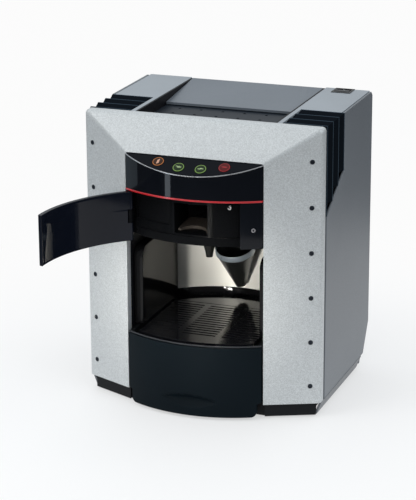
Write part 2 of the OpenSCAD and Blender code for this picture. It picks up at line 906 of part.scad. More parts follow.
module water_tank() {
  color([0.75, 0.82, 0.88]) difference() {
    block(-86, 86, at(70), at(203), tank_z0, tank_z1);
    block(-84, 84, at(72), at(201), tank_z0 + 2, tank_z1 - 2);
    block(-80, 80, at(132), at(199), tank_z1 - 5, tank_z1 + 5);
    translate([tank_outlet_x, at(175), tank_z0 - 5]) cylinder(r = 3, h = 10);
  }
}

module flow_meter() {
  color([0.85, 0.85, 0.80]) translate([tank_outlet_x, at(175), 0]) difference() {
    union() {
      translate([0, 0, 236]) cylinder(r = 13, h = 14);
      translate([0, 0, 226]) cylinder(r = 4.5, h = tank_z0 - 226.05);
    }
    translate([0, 0, 220]) cylinder(r = 2, h = 60);
  }
}

pump_x = -119;
pump_z = 80;
pump_r = 18;
pump_front = 44;
pump_l = 42;

module pump() {
  color([0.65, 0.55, 0.25]) translate([pump_x, 0, pump_z]) rotate([-90, 0, 0]) {
    translate([0, 0, at(pump_front)]) cylinder(r = pump_r, h = pump_l);
    translate([0, 0, at(30)]) cylinder(r = 9, h = 70);
    translate([0, 0, at(24)]) cylinder(r = 4, h = 82);
  }
  color([0.65, 0.55, 0.25]) block(pump_x - 16, pump_x + 16, at(50), at(80), pump_z - 22, pump_z + 22);
}

module pump_mount() {
  color([0.10, 0.10, 0.10]) {
    block(pump_x - 16, pump_x + 16, at(40), at(90), tray_z + tray_t, tray_z + tray_t + 3);
    for (d = [40, 86]) difference() {
      block(pump_x - 14, pump_x + 14, at(d), at(d + 4), tray_z + tray_t, pump_z + 20);
      translate([pump_x, at(d - 1), pump_z]) rotate([-90, 0, 0]) cylinder(r = pump_r + 0.1, h = 8);
    }
  }
}

boiler_r = 26;
boiler_z = 180;
boiler_h = 90;
boiler_cap = 6;

module boiler() {
  boiler_top = boiler_z + boiler_h + boiler_cap;
  color([0.72, 0.73, 0.75]) translate([boiler_x, at(boiler_d), 0]) {
    translate([0, 0, boiler_z]) cylinder(r = boiler_r, h = boiler_h);
    translate([0, 0, boiler_top - boiler_cap]) cylinder(r = boiler_r + 2, h = boiler_cap);
    translate([0, 0, boiler_top]) cylinder(r = 5, h = 14);
    translate([0, 0, boiler_z - 20]) cylinder(r = 4, h = 20);
    block(-6, 6, 20, 28, 200, 240);
  }
}

board_x = 143;

// an upright circuit board with its larger parts
module control_board() {
  color([0.06, 0.30, 0.16]) {
    block(board_x, board_x + 1.6, at(40), at(150), 40, 150);
    block(board_x - 15, board_x, at(50), at(66), 60, 80);
    block(board_x - 13, board_x, at(80), at(100), 100, 130);
    for (d = [56:14:84]) translate([board_x, at(d), 50]) rotate([0, -90, 0]) cylinder(r = 6, h = 18);
  }
}

module transformer() {
  color([0.55, 0.30, 0.15]) {
    block(96, 132, at(110), at(160), 20, 62);
    block(100, 128, at(104), at(166), 26, 56);
    block(94, 134, at(120), at(150), tray_z + tray_t, 22);
  }
}

// a hose of straight runs with push-fit elbows at its corners
module hose(points, r) {
  elbow = 2 * r + 2.4;
  for (i = [0:len(points) - 2]) {
    a = points[i];
    b = points[i + 1];
    d = b - a;
    l = norm(d);
    translate(a) rotate([0, acos(d[2] / l), atan2(d[1], d[0])]) cylinder(r = r, h = l, $fn = 24);
    if (i > 0) translate(a) cube(elbow, center = true);
  }
}

tank_outlet_x = -62;
boiler_x = 119;
boiler_d = 80;
hose_top = 318;

module water_hoses() {
  color([0.88, 0.90, 0.92]) {
    hose([
      [tank_outlet_x, at(175), 225.9], [tank_outlet_x, at(175), 130], [pump_x, at(175), 130],
      [pump_x, at(175), pump_z], [pump_x, at(106.1), pump_z]
    ], 3.5);
    hose([
      [pump_x, at(23.9), pump_z], [pump_x, at(18), pump_z], [pump_x, at(18), hose_top],
      [pump_x, at(52), hose_top], [boiler_x, at(52), hose_top], [boiler_x, at(boiler_d), hose_top],
      [boiler_x, at(boiler_d), 290.1]
    ], 3.5);
    hose([
      [boiler_x, at(boiler_d), 159.9], [boiler_x, at(boiler_d), 150], [boiler_x, at(38), 150],
      [boiler_x, at(38), 306], [50, at(38), 306], [50, at(38), 280], [32.1, at(38), 280]
    ], 3.2);
  }
}

module mains_inlet() {
  color([0.03, 0.03, 0.03]) translate([inlet_x, rear_y, inlet_z]) {
    difference() {
      union() {
        block(-14, 14, -24, 0.5, -11, 11);
        block(-17, 17, 0.05, 2, -14, 14);
      }
      block(-12, 12, -18, 5, -8.5, 8.5);
    }
    for (x = [-7, 0, 7]) block(x - 1, x + 1, -18.5, -4, (x == 0 ? 1 : -4), (x == 0 ? 5 : 0));
  }
}

front_frame();
frame_screws();
frame_carriers();
side_panel_left();
side_panel_right();
base_tray();
base_skirts();
feet();
rear_cover();
rear_screws();
inner_wall_left();
inner_wall_right();
top_rail_left();
top_rail_right();
vent_left();
vent_right();
top_well();
warmer_deck();
tank_lid();
lid_hinge_pin();
power_switch();
switch_bezel();
control_panel();
panel_trim();
upper_fascia();
red_strip();
button_board();
button_power();
button_short_cup();
button_long_cup();
button_stop();
brew_door();
door_hinge_pin();
door_catch();
jamb_panel();
jamb_screw();
brew_housing();
capsule_cradle();
brew_group();
brew_piston();
coffee_spout();
drain_funnel();
capsule_chute();
backsplash();
bay_cheeks();
bay_ceiling();
bay_floor();
drawer_front();
drawer_tub();
drip_grid();
capsule_bin();
water_tank();
flow_meter();
pump();
pump_mount();
boiler();
control_board();
transformer();
water_hoses();
mains_inlet();
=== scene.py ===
"""Looks for a pod coffee machine: operators that build its shells and finishes round a fixed frame."""

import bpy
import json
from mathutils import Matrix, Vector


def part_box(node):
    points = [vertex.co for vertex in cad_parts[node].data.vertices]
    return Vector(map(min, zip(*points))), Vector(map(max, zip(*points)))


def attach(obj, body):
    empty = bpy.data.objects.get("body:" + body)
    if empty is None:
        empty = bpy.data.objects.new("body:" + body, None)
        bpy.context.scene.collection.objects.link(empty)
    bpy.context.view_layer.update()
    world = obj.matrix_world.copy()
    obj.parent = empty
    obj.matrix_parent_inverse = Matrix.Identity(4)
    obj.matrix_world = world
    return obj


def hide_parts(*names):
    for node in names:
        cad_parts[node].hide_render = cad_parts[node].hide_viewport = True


bl_info = {
    "name": "Pod coffee machine",
    "version": (1, 0, 0),
    "blender": (4, 5, 0),
    "location": "3D View > Sidebar > Coffee machine",
    "description": "Builds the casing, curved front, cup bay and stage of a pod coffee machine",
    "category": "Add Mesh",
}

import json
import math

import bmesh
import bpy
import numpy as np
from bpy.props import FloatProperty, FloatVectorProperty, PointerProperty
from mathutils import Matrix, Vector

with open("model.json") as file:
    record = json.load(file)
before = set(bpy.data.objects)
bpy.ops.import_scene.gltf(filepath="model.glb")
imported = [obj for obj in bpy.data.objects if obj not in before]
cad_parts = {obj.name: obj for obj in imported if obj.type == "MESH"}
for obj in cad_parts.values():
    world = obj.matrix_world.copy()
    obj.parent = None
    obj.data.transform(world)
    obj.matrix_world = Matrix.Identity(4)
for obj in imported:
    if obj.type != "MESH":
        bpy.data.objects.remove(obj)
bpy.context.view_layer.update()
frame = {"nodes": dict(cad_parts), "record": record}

MM = 0.001
BODY_OF = {n: body for body, nodes in frame["record"]["behaviour"]["bodies"].items() for n in nodes}

# ---------------------------------------------------------------- places read from the frame

FRAME_LOW, FRAME_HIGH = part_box("front_frame")
EDGE_Y = FRAME_LOW.y
RETURN_Y = FRAME_HIGH.y
OUTER_Y = RETURN_Y - 12 * MM
HALF_W = FRAME_HIGH.x
TOP_Z = FRAME_HIGH.z
OPENING_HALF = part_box("bay_ceiling")[1].x
OPENING_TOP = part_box("panel_trim")[1].z + 0.7 * MM

BULGE = EDGE_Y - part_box("upper_fascia")[0].y
FRONT_R = (OPENING_HALF**2 + BULGE**2) / (2 * BULGE)
FRONT_C = EDGE_Y - BULGE + FRONT_R
FRONT_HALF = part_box("red_strip")[1].x
STRIP_LOW, STRIP_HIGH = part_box("red_strip")
PANEL_TILT = math.radians(30)
PANEL_TOP = OPENING_TOP - MM

DOOR_OPEN = math.radians(111)
HINGE_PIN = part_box("door_hinge_pin")
HINGE = (HINGE_PIN[0] + HINGE_PIN[1]) / 2
DOOR_LOW, DOOR_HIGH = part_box("brew_door")
DOOR_FREE_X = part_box("jamb_panel")[0].x - 1.2 * MM
DOOR_T = 5.5 * MM
BARREL_R = 3.6 * MM
LUG_LOW, LUG_HIGH = 235.6 * MM, 252.4 * MM

LOUVRE_PITCH = 23 * MM
BUTTONS = ["button_power", "button_short_cup", "button_long_cup", "button_stop"]


def front_curve(x, inset=0.0):
    """Y on the curved front, an arc about an upright axis: y = centre - sqrt((radius - inset)^2 - x^2)."""
    return FRONT_C - np.sqrt((FRONT_R - inset) ** 2 - np.asarray(x) ** 2)


def panel_height(y):
    """Z of the control panel's plane, which falls towards the front: z = top + (y - edge) * tan(tilt)."""
    return PANEL_TOP + (np.asarray(y) - EDGE_Y) * math.tan(PANEL_TILT)


# ---------------------------------------------------------------- meshes from arrays


def grid_quads(rows, cols, wrap_rows=False, wrap_cols=False, offset=0):
    """Quads of a grid of points numbered row by row, closed on itself where a wrap is asked for."""
    r = np.arange(rows if wrap_rows else rows - 1)
    c = np.arange(cols if wrap_cols else cols - 1)
    i, j = np.meshgrid(r, c, indexing="ij")
    i2, j2 = (i + 1) % rows, (j + 1) % cols
    quads = np.stack([i * cols + j, i2 * cols + j, i2 * cols + j2, i * cols + j2], axis=-1)
    return quads.reshape(-1, 4) + offset


def solid_between(outer, inner):
    """Points and quads of a closed plate: an outer grid, an inner grid, and a wall round their rims."""
    rows, cols = outer.shape[:2]
    count = rows * cols
    index = np.arange(count).reshape(rows, cols)
    rim = np.concatenate([index[0, :-1], index[:-1, -1], index[-1, :0:-1], index[:0:-1, 0]])
    wall = np.stack([rim, np.roll(rim, -1), np.roll(rim, -1) + count, rim + count], axis=-1)
    front = grid_quads(rows, cols)
    back = front[:, ::-1] + count
    points = np.concatenate([outer.reshape(-1, 3), inner.reshape(-1, 3)])
    return points, np.concatenate([front, back, wall])


def curved_shell(x, z_low, z_high, inset0, inset1, rows=12):
    """A plate on the curved front between two insets. Each column of x runs from z_low to z_high."""
    x = np.asarray(x, float)
    t = np.linspace(0, 1, rows)[:, None]
    z = np.broadcast_to(z_low, x.shape) * (1 - t) + np.broadcast_to(z_high, x.shape) * t
    xs = np.broadcast_to(x, z.shape)
    outer = np.stack([xs, front_curve(xs, inset0), z], axis=-1)
    inner = np.stack([xs, front_curve(xs, inset1), z], axis=-1)
    return solid_between(outer, inner)


def rounded_loop(points, cuts, steps=6):
    """A closed outline whose corners are replaced by parabolas.

    Each parabola starts and ends at the given distance from its corner and is tangent to both sides there."""
    points = np.asarray(points, float)
    before = np.roll(points, 1, axis=0) - points
    after = np.roll(points, -1, axis=0) - points
    cuts = np.asarray(cuts, float)[:, None]
    start = points + before / np.linalg.norm(before, axis=1, keepdims=True) * cuts
    end = points + after / np.linalg.norm(after, axis=1, keepdims=True) * cuts
    s = np.linspace(0, 1, steps)[None, :, None]
    curve = (1 - s) ** 2 * start[:, None] + 2 * s * (1 - s) * points[:, None] + s**2 * end[:, None]
    return curve.reshape(-1, points.shape[1])


def rounded_run(low, high, radius, count):
    """Places from low to high and how far a face has sunk at each, with a quarter circle at both ends."""
    turn = np.linspace(0, np.pi / 2, 7)
    near, sunk = radius * (1 - np.cos(turn)), radius * (1 - np.sin(turn))
    middle = np.linspace(low + radius, high - radius, count)[1:-1]
    places = np.concatenate([low + near, middle, (high - near)[::-1]])
    return places, np.concatenate([sunk, np.zeros(count - 2), sunk[::-1]])


def revolved(profile, places, segments=32, hexagon=None):
    """Solids of revolution, one at each place.

    A ring whose flag is 1 follows a hexagon: its radius is r / cos(angle mod 60 - 30)."""
    profile = np.asarray(profile, float)
    angle = np.arange(segments) * 2 * np.pi / segments
    flags = np.zeros(len(profile)) if hexagon is None else np.asarray(hexagon, float)
    six = math.cos(math.pi / 6) / np.cos(np.mod(angle, np.pi / 3) - np.pi / 6)
    radius = profile[:, :1] * (1 + flags[:, None] * (six[None, :] / math.cos(math.pi / 6) - 1))
    ring = np.stack(
        [radius * np.cos(angle), radius * np.sin(angle), np.broadcast_to(profile[:, 1:], radius.shape)], axis=-1
    )
    one = grid_quads(len(profile), segments, wrap_cols=True)
    count = len(profile) * segments
    points, quads = [], []
    for k, place in enumerate(places):
        m = np.array(place)
        points.append(ring.reshape(-1, 3) @ m[:3, :3].T + m[:3, 3])
        quads.append(one + k * count)
    return np.concatenate(points), np.concatenate(quads)


def joined(*parts):
    """Several sets of points and quads as one."""
    points, quads, offset = [], [], 0
    for p, q in parts:
        points.append(p)
        quads.append(q + offset)
        offset += len(p)
    return np.concatenate(points), np.concatenate(quads)


def brick(xs, ys, zs):
    """Corners and faces of a box between two values along each axis."""
    flat = [(xs[0], ys[0]), (xs[1], ys[0]), (xs[1], ys[1]), (xs[0], ys[1])]
    corners = np.array([[x, y, z] for z in zs for x, y in flat])
    return corners, [[3, 2, 1, 0], [4, 5, 6, 7], [0, 1, 5, 4], [1, 2, 6, 5], [2, 3, 7, 6], [3, 0, 4, 7]]


def turned_about_hinge(points, angle):
    """Points turned about the door's upright hinge axis."""
    c, s = math.cos(angle), math.sin(angle)
    flat = points[:, :2] - np.array([HINGE.x, HINGE.y])
    turned = flat @ np.array([[c, s], [-s, c]]) + np.array([HINGE.x, HINGE.y])
    return np.column_stack([turned, points[:, 2]])


# ---------------------------------------------------------------- pieces


def soften(piece, width, segments=3, angle=35.0):
    """Rounds the piece's sharp edges and shades what is left smooth."""
    piece.data.shade_smooth()
    piece.data.set_sharp_from_angle(angle=math.radians(angle))
    if width:
        bevel = piece.modifiers.new("Rounded edges", "BEVEL")
        bevel.width = width
        bevel.segments = segments
        bevel.limit_method = "ANGLE"
        bevel.angle_limit = math.radians(angle)
        bevel.harden_normals = True


def settle(piece, body, look, stands_for=()):
    """Gives a piece its finish, its body and the nodes that it stands for."""
    piece.data.materials.clear()
    piece.data.materials.append(look)
    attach(piece, body)
    if stands_for:
        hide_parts(*stands_for)
    return piece


def closed_mesh(name, points, faces):
    """An object from points and faces, with poles and seams merged and its faces pointing outwards."""
    mesh = bpy.data.meshes.new(name)
    mesh.from_pydata(points.tolist(), [], faces.tolist() if hasattr(faces, "tolist") else faces)
    work = bmesh.new()
    work.from_mesh(mesh)
    bmesh.ops.remove_doubles(work, verts=work.verts, dist=2e-6)
    bmesh.ops.recalc_face_normals(work, faces=work.faces)
    work.to_mesh(mesh)
    work.free()
    piece = bpy.data.objects.new(name, mesh)
    bpy.context.scene.collection.objects.link(piece)
    return piece


def new_piece(name, shape, node, look, round_edges=0.0, angle=35.0, segments=3):
    """A piece from computed points and faces that stands for a node and rides on its body."""
    piece = closed_mesh(name, *shape)
    soften(piece, round_edges, segments, angle)
    return settle(piece, BODY_OF[node], look, (node,))


def refined(node, look, round_edges=0.4, segments=2, angle=35.0):
    """A merged copy of a node with rounded edges, which stands for it."""
    mesh = frame["nodes"][node].data.copy()
    work = bmesh.new()
    work.from_mesh(mesh)
    bmesh.ops.remove_doubles(work, verts=work.verts, dist=2e-6)
    bmesh.ops.dissolve_limit(work, angle_limit=math.radians(0.4), verts=work.verts, edges=work.edges)
    work.to_mesh(mesh)
    work.free()
    mesh.name = node + "_shell"
    piece = bpy.data.objects.new(node + "_shell", mesh)
    bpy.context.scene.collection.objects.link(piece)
    soften(piece, round_edges * MM, segments, angle)
    return settle(piece, BODY_OF[node], look, (node,))


def dressed(node, look):
    """Gives a node that keeps its own shape its finish."""
    piece = frame["nodes"][node]
    piece.data.materials.clear()
    piece.data.materials.append(look)
    return piece


# ---------------------------------------------------------------- finishes


class Finish:
    """A material under construction: one Principled shader and the nodes that feed it."""

    def __init__(self, name):
        self.material = bpy.data.materials.new(name)
        self.material.use_nodes = True
        self.nodes = self.material.node_tree.nodes
        self.links = self.material.node_tree.links
        self.shader = self.nodes["Principled BSDF"]
        self.place = self.nodes.new("ShaderNodeTexCoord").outputs["Object"]

    def set(self, **values):
        for name, value in values.items():
            self.shader.inputs[name.replace("_", " ")].default_value = value
        return self

    def stretched(self, scale):
        """Object coordinates scaled by a different number along each axis."""
        node = self.nodes.new("ShaderNodeMapping")
        node.inputs["Scale"].default_value = scale
        self.links.new(self.place, node.inputs["Vector"])
        return node.outputs["Vector"]

    def noise(self, scale, detail=2.0, roughness=0.5, where=None):
        node = self.nodes.new("ShaderNodeTexNoise")
        node.inputs["Scale"].default_value = scale
        node.inputs["Detail"].default_value = detail
        node.inputs["Roughness"].default_value = roughness
        self.links.new(where or self.place, node.inputs["Vector"])
        return node.outputs["Fac"]

    def cells(self, scale):
        """A random grey for each cell of a Voronoi pattern."""
        node = self.nodes.new("ShaderNodeTexVoronoi")
        node.inputs["Scale"].default_value = scale
        self.links.new(self.place, node.inputs["Vector"])
        grey = self.nodes.new("ShaderNodeSeparateColor")
        self.links.new(node.outputs["Color"], grey.inputs["Color"])
        return grey.outputs["Red"]

    def remap(self, value, low, high, from_low=0.0, from_high=1.0):
        node = self.nodes.new("ShaderNodeMapRange")
        node.inputs["From Min"].default_value = from_low
        node.inputs["From Max"].default_value = from_high
        node.inputs["To Min"].default_value = low
        node.inputs["To Max"].default_value = high
        self.links.new(value, node.inputs["Value"])
        return node.outputs["Result"]

    def blend(self, factor, a, b):
        node = self.nodes.new("ShaderNodeMix")
        node.data_type = "RGBA"
        node.inputs["A"].default_value = (*a[:3], 1)
        node.inputs["B"].default_value = (*b[:3], 1)
        self.links.new(factor, node.inputs["Factor"])
        return node.outputs["Result"]

    def shade(self, factor, colour, dark, light):
        """Feeds the colour, varied between a darker and a lighter share of it."""
        self.feed("Base Color", self.blend(factor, scaled(colour, dark), scaled(colour, light)))

    def roughen(self, noise, low, high):
        """Feeds the roughness: a noise's middle range spread from low to high."""
        self.feed("Roughness", self.remap(noise, low, high, 0.3, 0.7))

    def feed(self, name, value):
        self.links.new(value, self.shader.inputs[name])
        return self

    def bump(self, height, strength, distance):
        node = self.nodes.new("ShaderNodeBump")
        node.inputs["Strength"].default_value = strength
        node.inputs["Distance"].default_value = distance
        self.links.new(height, node.inputs["Height"])
        self.links.new(node.outputs["Normal"], self.shader.inputs["Normal"])
        return self


def scaled(colour, factor):
    return tuple(c * factor for c in colour[:3])


def sparkle_paint(name, colour, metallic=0.25, roughness=0.45):
    """Metallic paint: fine flakes of different brightness, each tilted a little its own way."""
    f = Finish(name)
    flakes = f.cells(1300)
    coarse = f.noise(260, 3)
    f.shade(f.remap(flakes, 0, 1), colour, 0.80, 1.14)
    f.roughen(coarse, roughness - 0.05, roughness + 0.07)
    f.set(Metallic=metallic)
    return f.bump(flakes, 0.15, 0.0003).material


def satin_paint(name, colour, roughness=0.42, gloss=0.5):
    """Satin enamel on sheet metal with a faint orange peel."""
    f = Finish(name)
    broad = f.noise(9, 2)
    fine = f.noise(900, 2)
    f.shade(f.remap(broad, 0, 1, 0.35, 0.65), colour, 0.95, 1.05)
    f.roughen(fine, roughness - 0.04, roughness + 0.06)
    f.set(Specular_IOR_Level=gloss)
    return f.bump(fine, 0.10, 0.0002).material


def gloss_black(name, colour, roughness=0.06, gloss=0.2):
    """Deep gloss plastic: smooth, with a trace of handling in its gloss."""
    f = Finish(name)
    smear = f.noise(35, 4, 0.6)
    f.shade(smear, colour, 0.9, 1.15)
    f.feed("Roughness", f.remap(smear, roughness, roughness + 0.05, 0.4, 0.75))
    return f.set(Specular_IOR_Level=gloss).material


def grained_plastic(name, colour, roughness=0.55, grain=700, depth=0.25, gloss=0.15):
    """Moulded plastic with a fine spark-eroded grain."""
    f = Finish(name)
    fine = f.noise(grain, 3, 0.6)
    broad = f.noise(14, 2)
    f.shade(broad, colour, 0.85, 1.2)
    f.roughen(fine, roughness - 0.08, roughness + 0.1)
    f.set(Specular_IOR_Level=gloss)
    return f.bump(fine, depth, 0.0002).material


def steel(name, colour, roughness=0.2, brushed=None, metallic=1.0, spread=0.3):
    """Steel, either polished or brushed along one axis by a noise that is drawn out along it."""
    f = Finish(name)
    streaks = f.noise(1.0, 3, 0.6, f.stretched(brushed or (120, 120, 120)))
    f.shade(streaks, colour, 0.97, 1.03)
    f.roughen(streaks, roughness * (1 - spread), roughness * (1 + spread))
    return f.set(Metallic=metallic).material


def glowing(name, colour, strength, base):
    """A lit mark behind a dark lens."""
    f = Finish(name)
    f.shade(f.noise(300, 2), base, 0.9, 1.1)
    f.set(Emission_Color=(*colour[:3], 1), Emission_Strength=strength, Roughness=0.25)
    return f.material


def clear_plastic(name, colour):
    """Clear moulded plastic with a faint flow pattern."""
    f = Finish(name)
    flow = f.noise(60, 2)
    f.shade(flow, colour, 0.97, 1.0)
    f.feed("Roughness", f.remap(flow, 0.05, 0.12))
    return f.set(Transmission_Weight=0.85, IOR=1.49).material


# ---------------------------------------------------------------- settings


def colour_property(name, description, default):
    """A colour in linear values."""
    return FloatVectorProperty(
        name=name, description=description, default=default, size=3, min=0, max=1, subtype="COLOR"
    )


def length_property(name, description, default):
    """A length in metres, shown in scene units."""
    return FloatProperty(
        name=name, description=description, default=default, min=0, subtype="DISTANCE", unit="LENGTH"
    )


def power_property(name, description, default):
    """A light's power in watts."""
    return FloatProperty(name=name, description=description, default=default, min=0, unit="POWER")


class CoffeeSizes(bpy.types.PropertyGroup):
    """Sizes of the roundings and small details."""

    outer_corner: length_property("Outer corner", "Radius of the front frame's upper outer corners", 5 * MM)
    opening_corner: length_property("Opening corner", "Radius of the opening's upper corners", 3.5 * MM)
    frame_fillet: length_property("Frame fillet", "Rounding between the frame's slope and its rim", 4.5 * MM)
    finger_depth: length_property("Finger recess", "Depth of the drawer's finger recess", 7 * MM)
    door_edge: length_property("Door edge", "Rounding of the door's edges", 1.6 * MM)


class CoffeeColours(bpy.types.PropertyGroup):
    """Colours of the finishes."""

    silver: colour_property("Silver paint", "Front frame", (0.55, 0.572, 0.58))
    casing: colour_property("Casing grey", "Side and rear panels", (0.150, 0.163, 0.180))
    rails: colour_property("Rail grey", "Top rails", (0.29, 0.32, 0.35))
    lid: colour_property("Lid grey", "Tank lid", (0.128, 0.147, 0.170))
    deck: colour_property("Deck slate", "Cup warmer deck", (0.010, 0.015, 0.022))
    gloss: colour_property("Gloss black", "Curved front", (0.0045, 0.0055, 0.008))
    slate: colour_property("Drawer slate", "Drawer front", (0.0035, 0.0068, 0.0095))
    strip: colour_property("Strip red", "Line under the fascia", (0.36, 0.010, 0.015))


class CoffeeStage(bpy.types.PropertyGroup):
    """Floor, lights and camera."""

    floor: colour_property("Floor", "Colour of the floor", (0.93, 0.93, 0.93))
    key: power_property("Key light", "Power of the key light", 12)
    fill: power_property("Fill light", "Power of the cool light from the right", 7.5)
    dome: FloatProperty(name="Dome", description="Brightness of the light dome overhead", default=1.05, min=0)
    lens: FloatProperty(name="Lens", description="Focal length in millimetres", default=150.64, min=1)


# ---------------------------------------------------------------- operators


class BuildOperator(bpy.types.Operator):
    """Shared behaviour: each builder can be undone and needs no selection."""

    bl_options = {"REGISTER", "UNDO"}


class COFFEE_OT_front_frame(BuildOperator):
    """Build the bevelled front frame and its screws."""

    bl_idname = "coffee.front_frame"
    bl_label = "Front frame"

    def execute(self, context):
        sizes, colours = context.scene.coffee_sizes, context.scene.coffee_colours
        paint = sparkle_paint("Sparkle silver", colours.silver)
        new_piece("front_frame_shell", self.surface(sizes), "front_frame", paint, 0.5 * MM, 50, segments=2)
        self.screws()
        dressed("frame_carriers", grained_plastic("Carrier black", (0.006, 0.007, 0.008)))
        return {"FINISHED"}

    @staticmethod
    def surface(sizes):
        """A closed outline swept up one leg, across the top and down the other leg.

        Each point of the outline has a half width w, a height t and a depth y. Its path is (-w, z) up to
        t - r, a quarter circle of radius r, the top at height t, a second quarter circle and the way down."""
        skin = 3 * MM
        fillet = sizes.frame_fillet
        corners = [
            (HALF_W - skin, TOP_Z - skin, RETURN_Y),
            (HALF_W, TOP_Z, RETURN_Y),
            (HALF_W, TOP_Z, OUTER_Y),
            (OPENING_HALF, OPENING_TOP, EDGE_Y),
            (OPENING_HALF, OPENING_TOP, EDGE_Y + 12 * MM),
            (OPENING_HALF + 2 * MM, OPENING_TOP + 2 * MM, EDGE_Y + 12 * MM),
            (OPENING_HALF + 2 * MM, OPENING_TOP + 2 * MM, EDGE_Y + 4 * MM),
            (HALF_W - skin, TOP_Z - skin, OUTER_Y + skin),
        ]
        cuts = [0.2 * MM, 1.0 * MM, fillet, 1.3 * MM, 0.4 * MM, 0.4 * MM, 0.5 * MM, 2 * MM]
        w, t, y = rounded_loop(corners, cuts, 7).T
        share = np.clip((w - OPENING_HALF) / (HALF_W - OPENING_HALF), 0, 1)
        r = sizes.opening_corner + (sizes.outer_corner - sizes.opening_corner) * share
        turn = np.linspace(0, np.pi / 2, 15)[:, None]
        climb = np.linspace(0, 1, 10)[:-1, None]
        leg_z = FRAME_LOW.z + (t - r - FRAME_LOW.z) * climb
        leg = np.stack([np.broadcast_to(-w, leg_z.shape), np.broadcast_to(y, leg_z.shape), leg_z], axis=-1)
        arc = np.stack(
            [-w + r - r * np.cos(turn), np.broadcast_to(y, (15, len(y))), t - r + r * np.sin(turn)], axis=-1
        )
        half = np.concatenate([leg, arc])
        path = np.concatenate([half, half[::-1] * np.array([-1, 1, 1])])
        rows, cols = path.shape[:2]
        quads = grid_quads(rows, cols, wrap_cols=True).tolist()
        ends = [list(range(cols)), list(range((rows - 1) * cols, rows * cols))]
        return path.reshape(-1, 3), quads + ends

    @staticmethod
    def screws():
        """Socket heads in even steps down both legs, square to the slope, each with a pressed ring round it."""
        slope = math.atan2(OUTER_Y - EDGE_Y, HALF_W - OPENING_HALF)
        inward = 11.7 * MM
        lowest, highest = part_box("frame_screws")
        head = 3 * MM
        heights = np.linspace(highest.z - head, lowest.z + head, 6)
        places = []
        for side in (-1, 1):
            facing = Matrix.Rotation(side * slope, 4, "Z") @ Matrix.Rotation(math.pi / 2, 4, "X")
            for z in heights:
                spot = Matrix.Translation((side * (HALF_W - inward), OUTER_Y - inward * math.tan(slope), z))
                places.append(spot @ facing)
        socket = [(0, 0.15), (1.45, 0.15), (1.5, 0.9)]
        dome = [(2.2, 0.9), (2.75, 0.6), (3.0, 0.1), (3.0, -0.6), (0, -0.6)]
        flags = [0, 1, 1, 0, 0, 0, 0, 0]
        shape = revolved(np.array(socket + dome) * MM, places, 36, flags)
        look = steel("Screw steel", (0.035, 0.04, 0.05), 0.4)
        new_piece("frame_screw_heads", shape, "frame_screws", look, angle=30)
        ring = [(2.95, 0.0), (3.1, 0.25), (3.7, 0.25), (3.9, 0.0), (3.9, -0.3), (2.95, -0.3)]
        points, quads = revolved(np.array(ring + ring[:1]) * MM, places, 36)
        collar = closed_mesh("frame_screw_rings", points, quads)
        soften(collar, 0, 2, 40)
        settle(collar, BODY_OF["front_frame"], bpy.data.materials["Sparkle silver"])


class COFFEE_OT_casing(BuildOperator):
    """Build the side panels, rear cover, base and feet."""

    bl_idname = "coffee.casing"
    bl_label = "Casing"

    def execute(self, context):
        grey = context.scene.coffee_colours.casing
        paint = satin_paint("Casing paint", grey)
        skirt = satin_paint("Skirt paint", scaled(grey, 0.8))
        black = grained_plastic("Base black", (0.006, 0.0065, 0.008), 0.5)
        for node in ("side_panel_left", "side_panel_right"):
            refined(node, paint, 1.0, 3)
        refined("rear_cover", paint, 0.6)
        refined("base_skirts", skirt, 0.6)
        refined("base_tray", black, 0.6)
        refined("feet", grained_plastic("Foot rubber", (0.008, 0.008, 0.008), 0.75, 500), 0.5)
        refined("rear_screws", steel("Rear screw steel", (0.30, 0.31, 0.33), 0.3), 0.15)
        refined("mains_inlet", grained_plastic("Inlet black", (0.008, 0.008, 0.009), 0.45), 0.4)
        return {"FINISHED"}


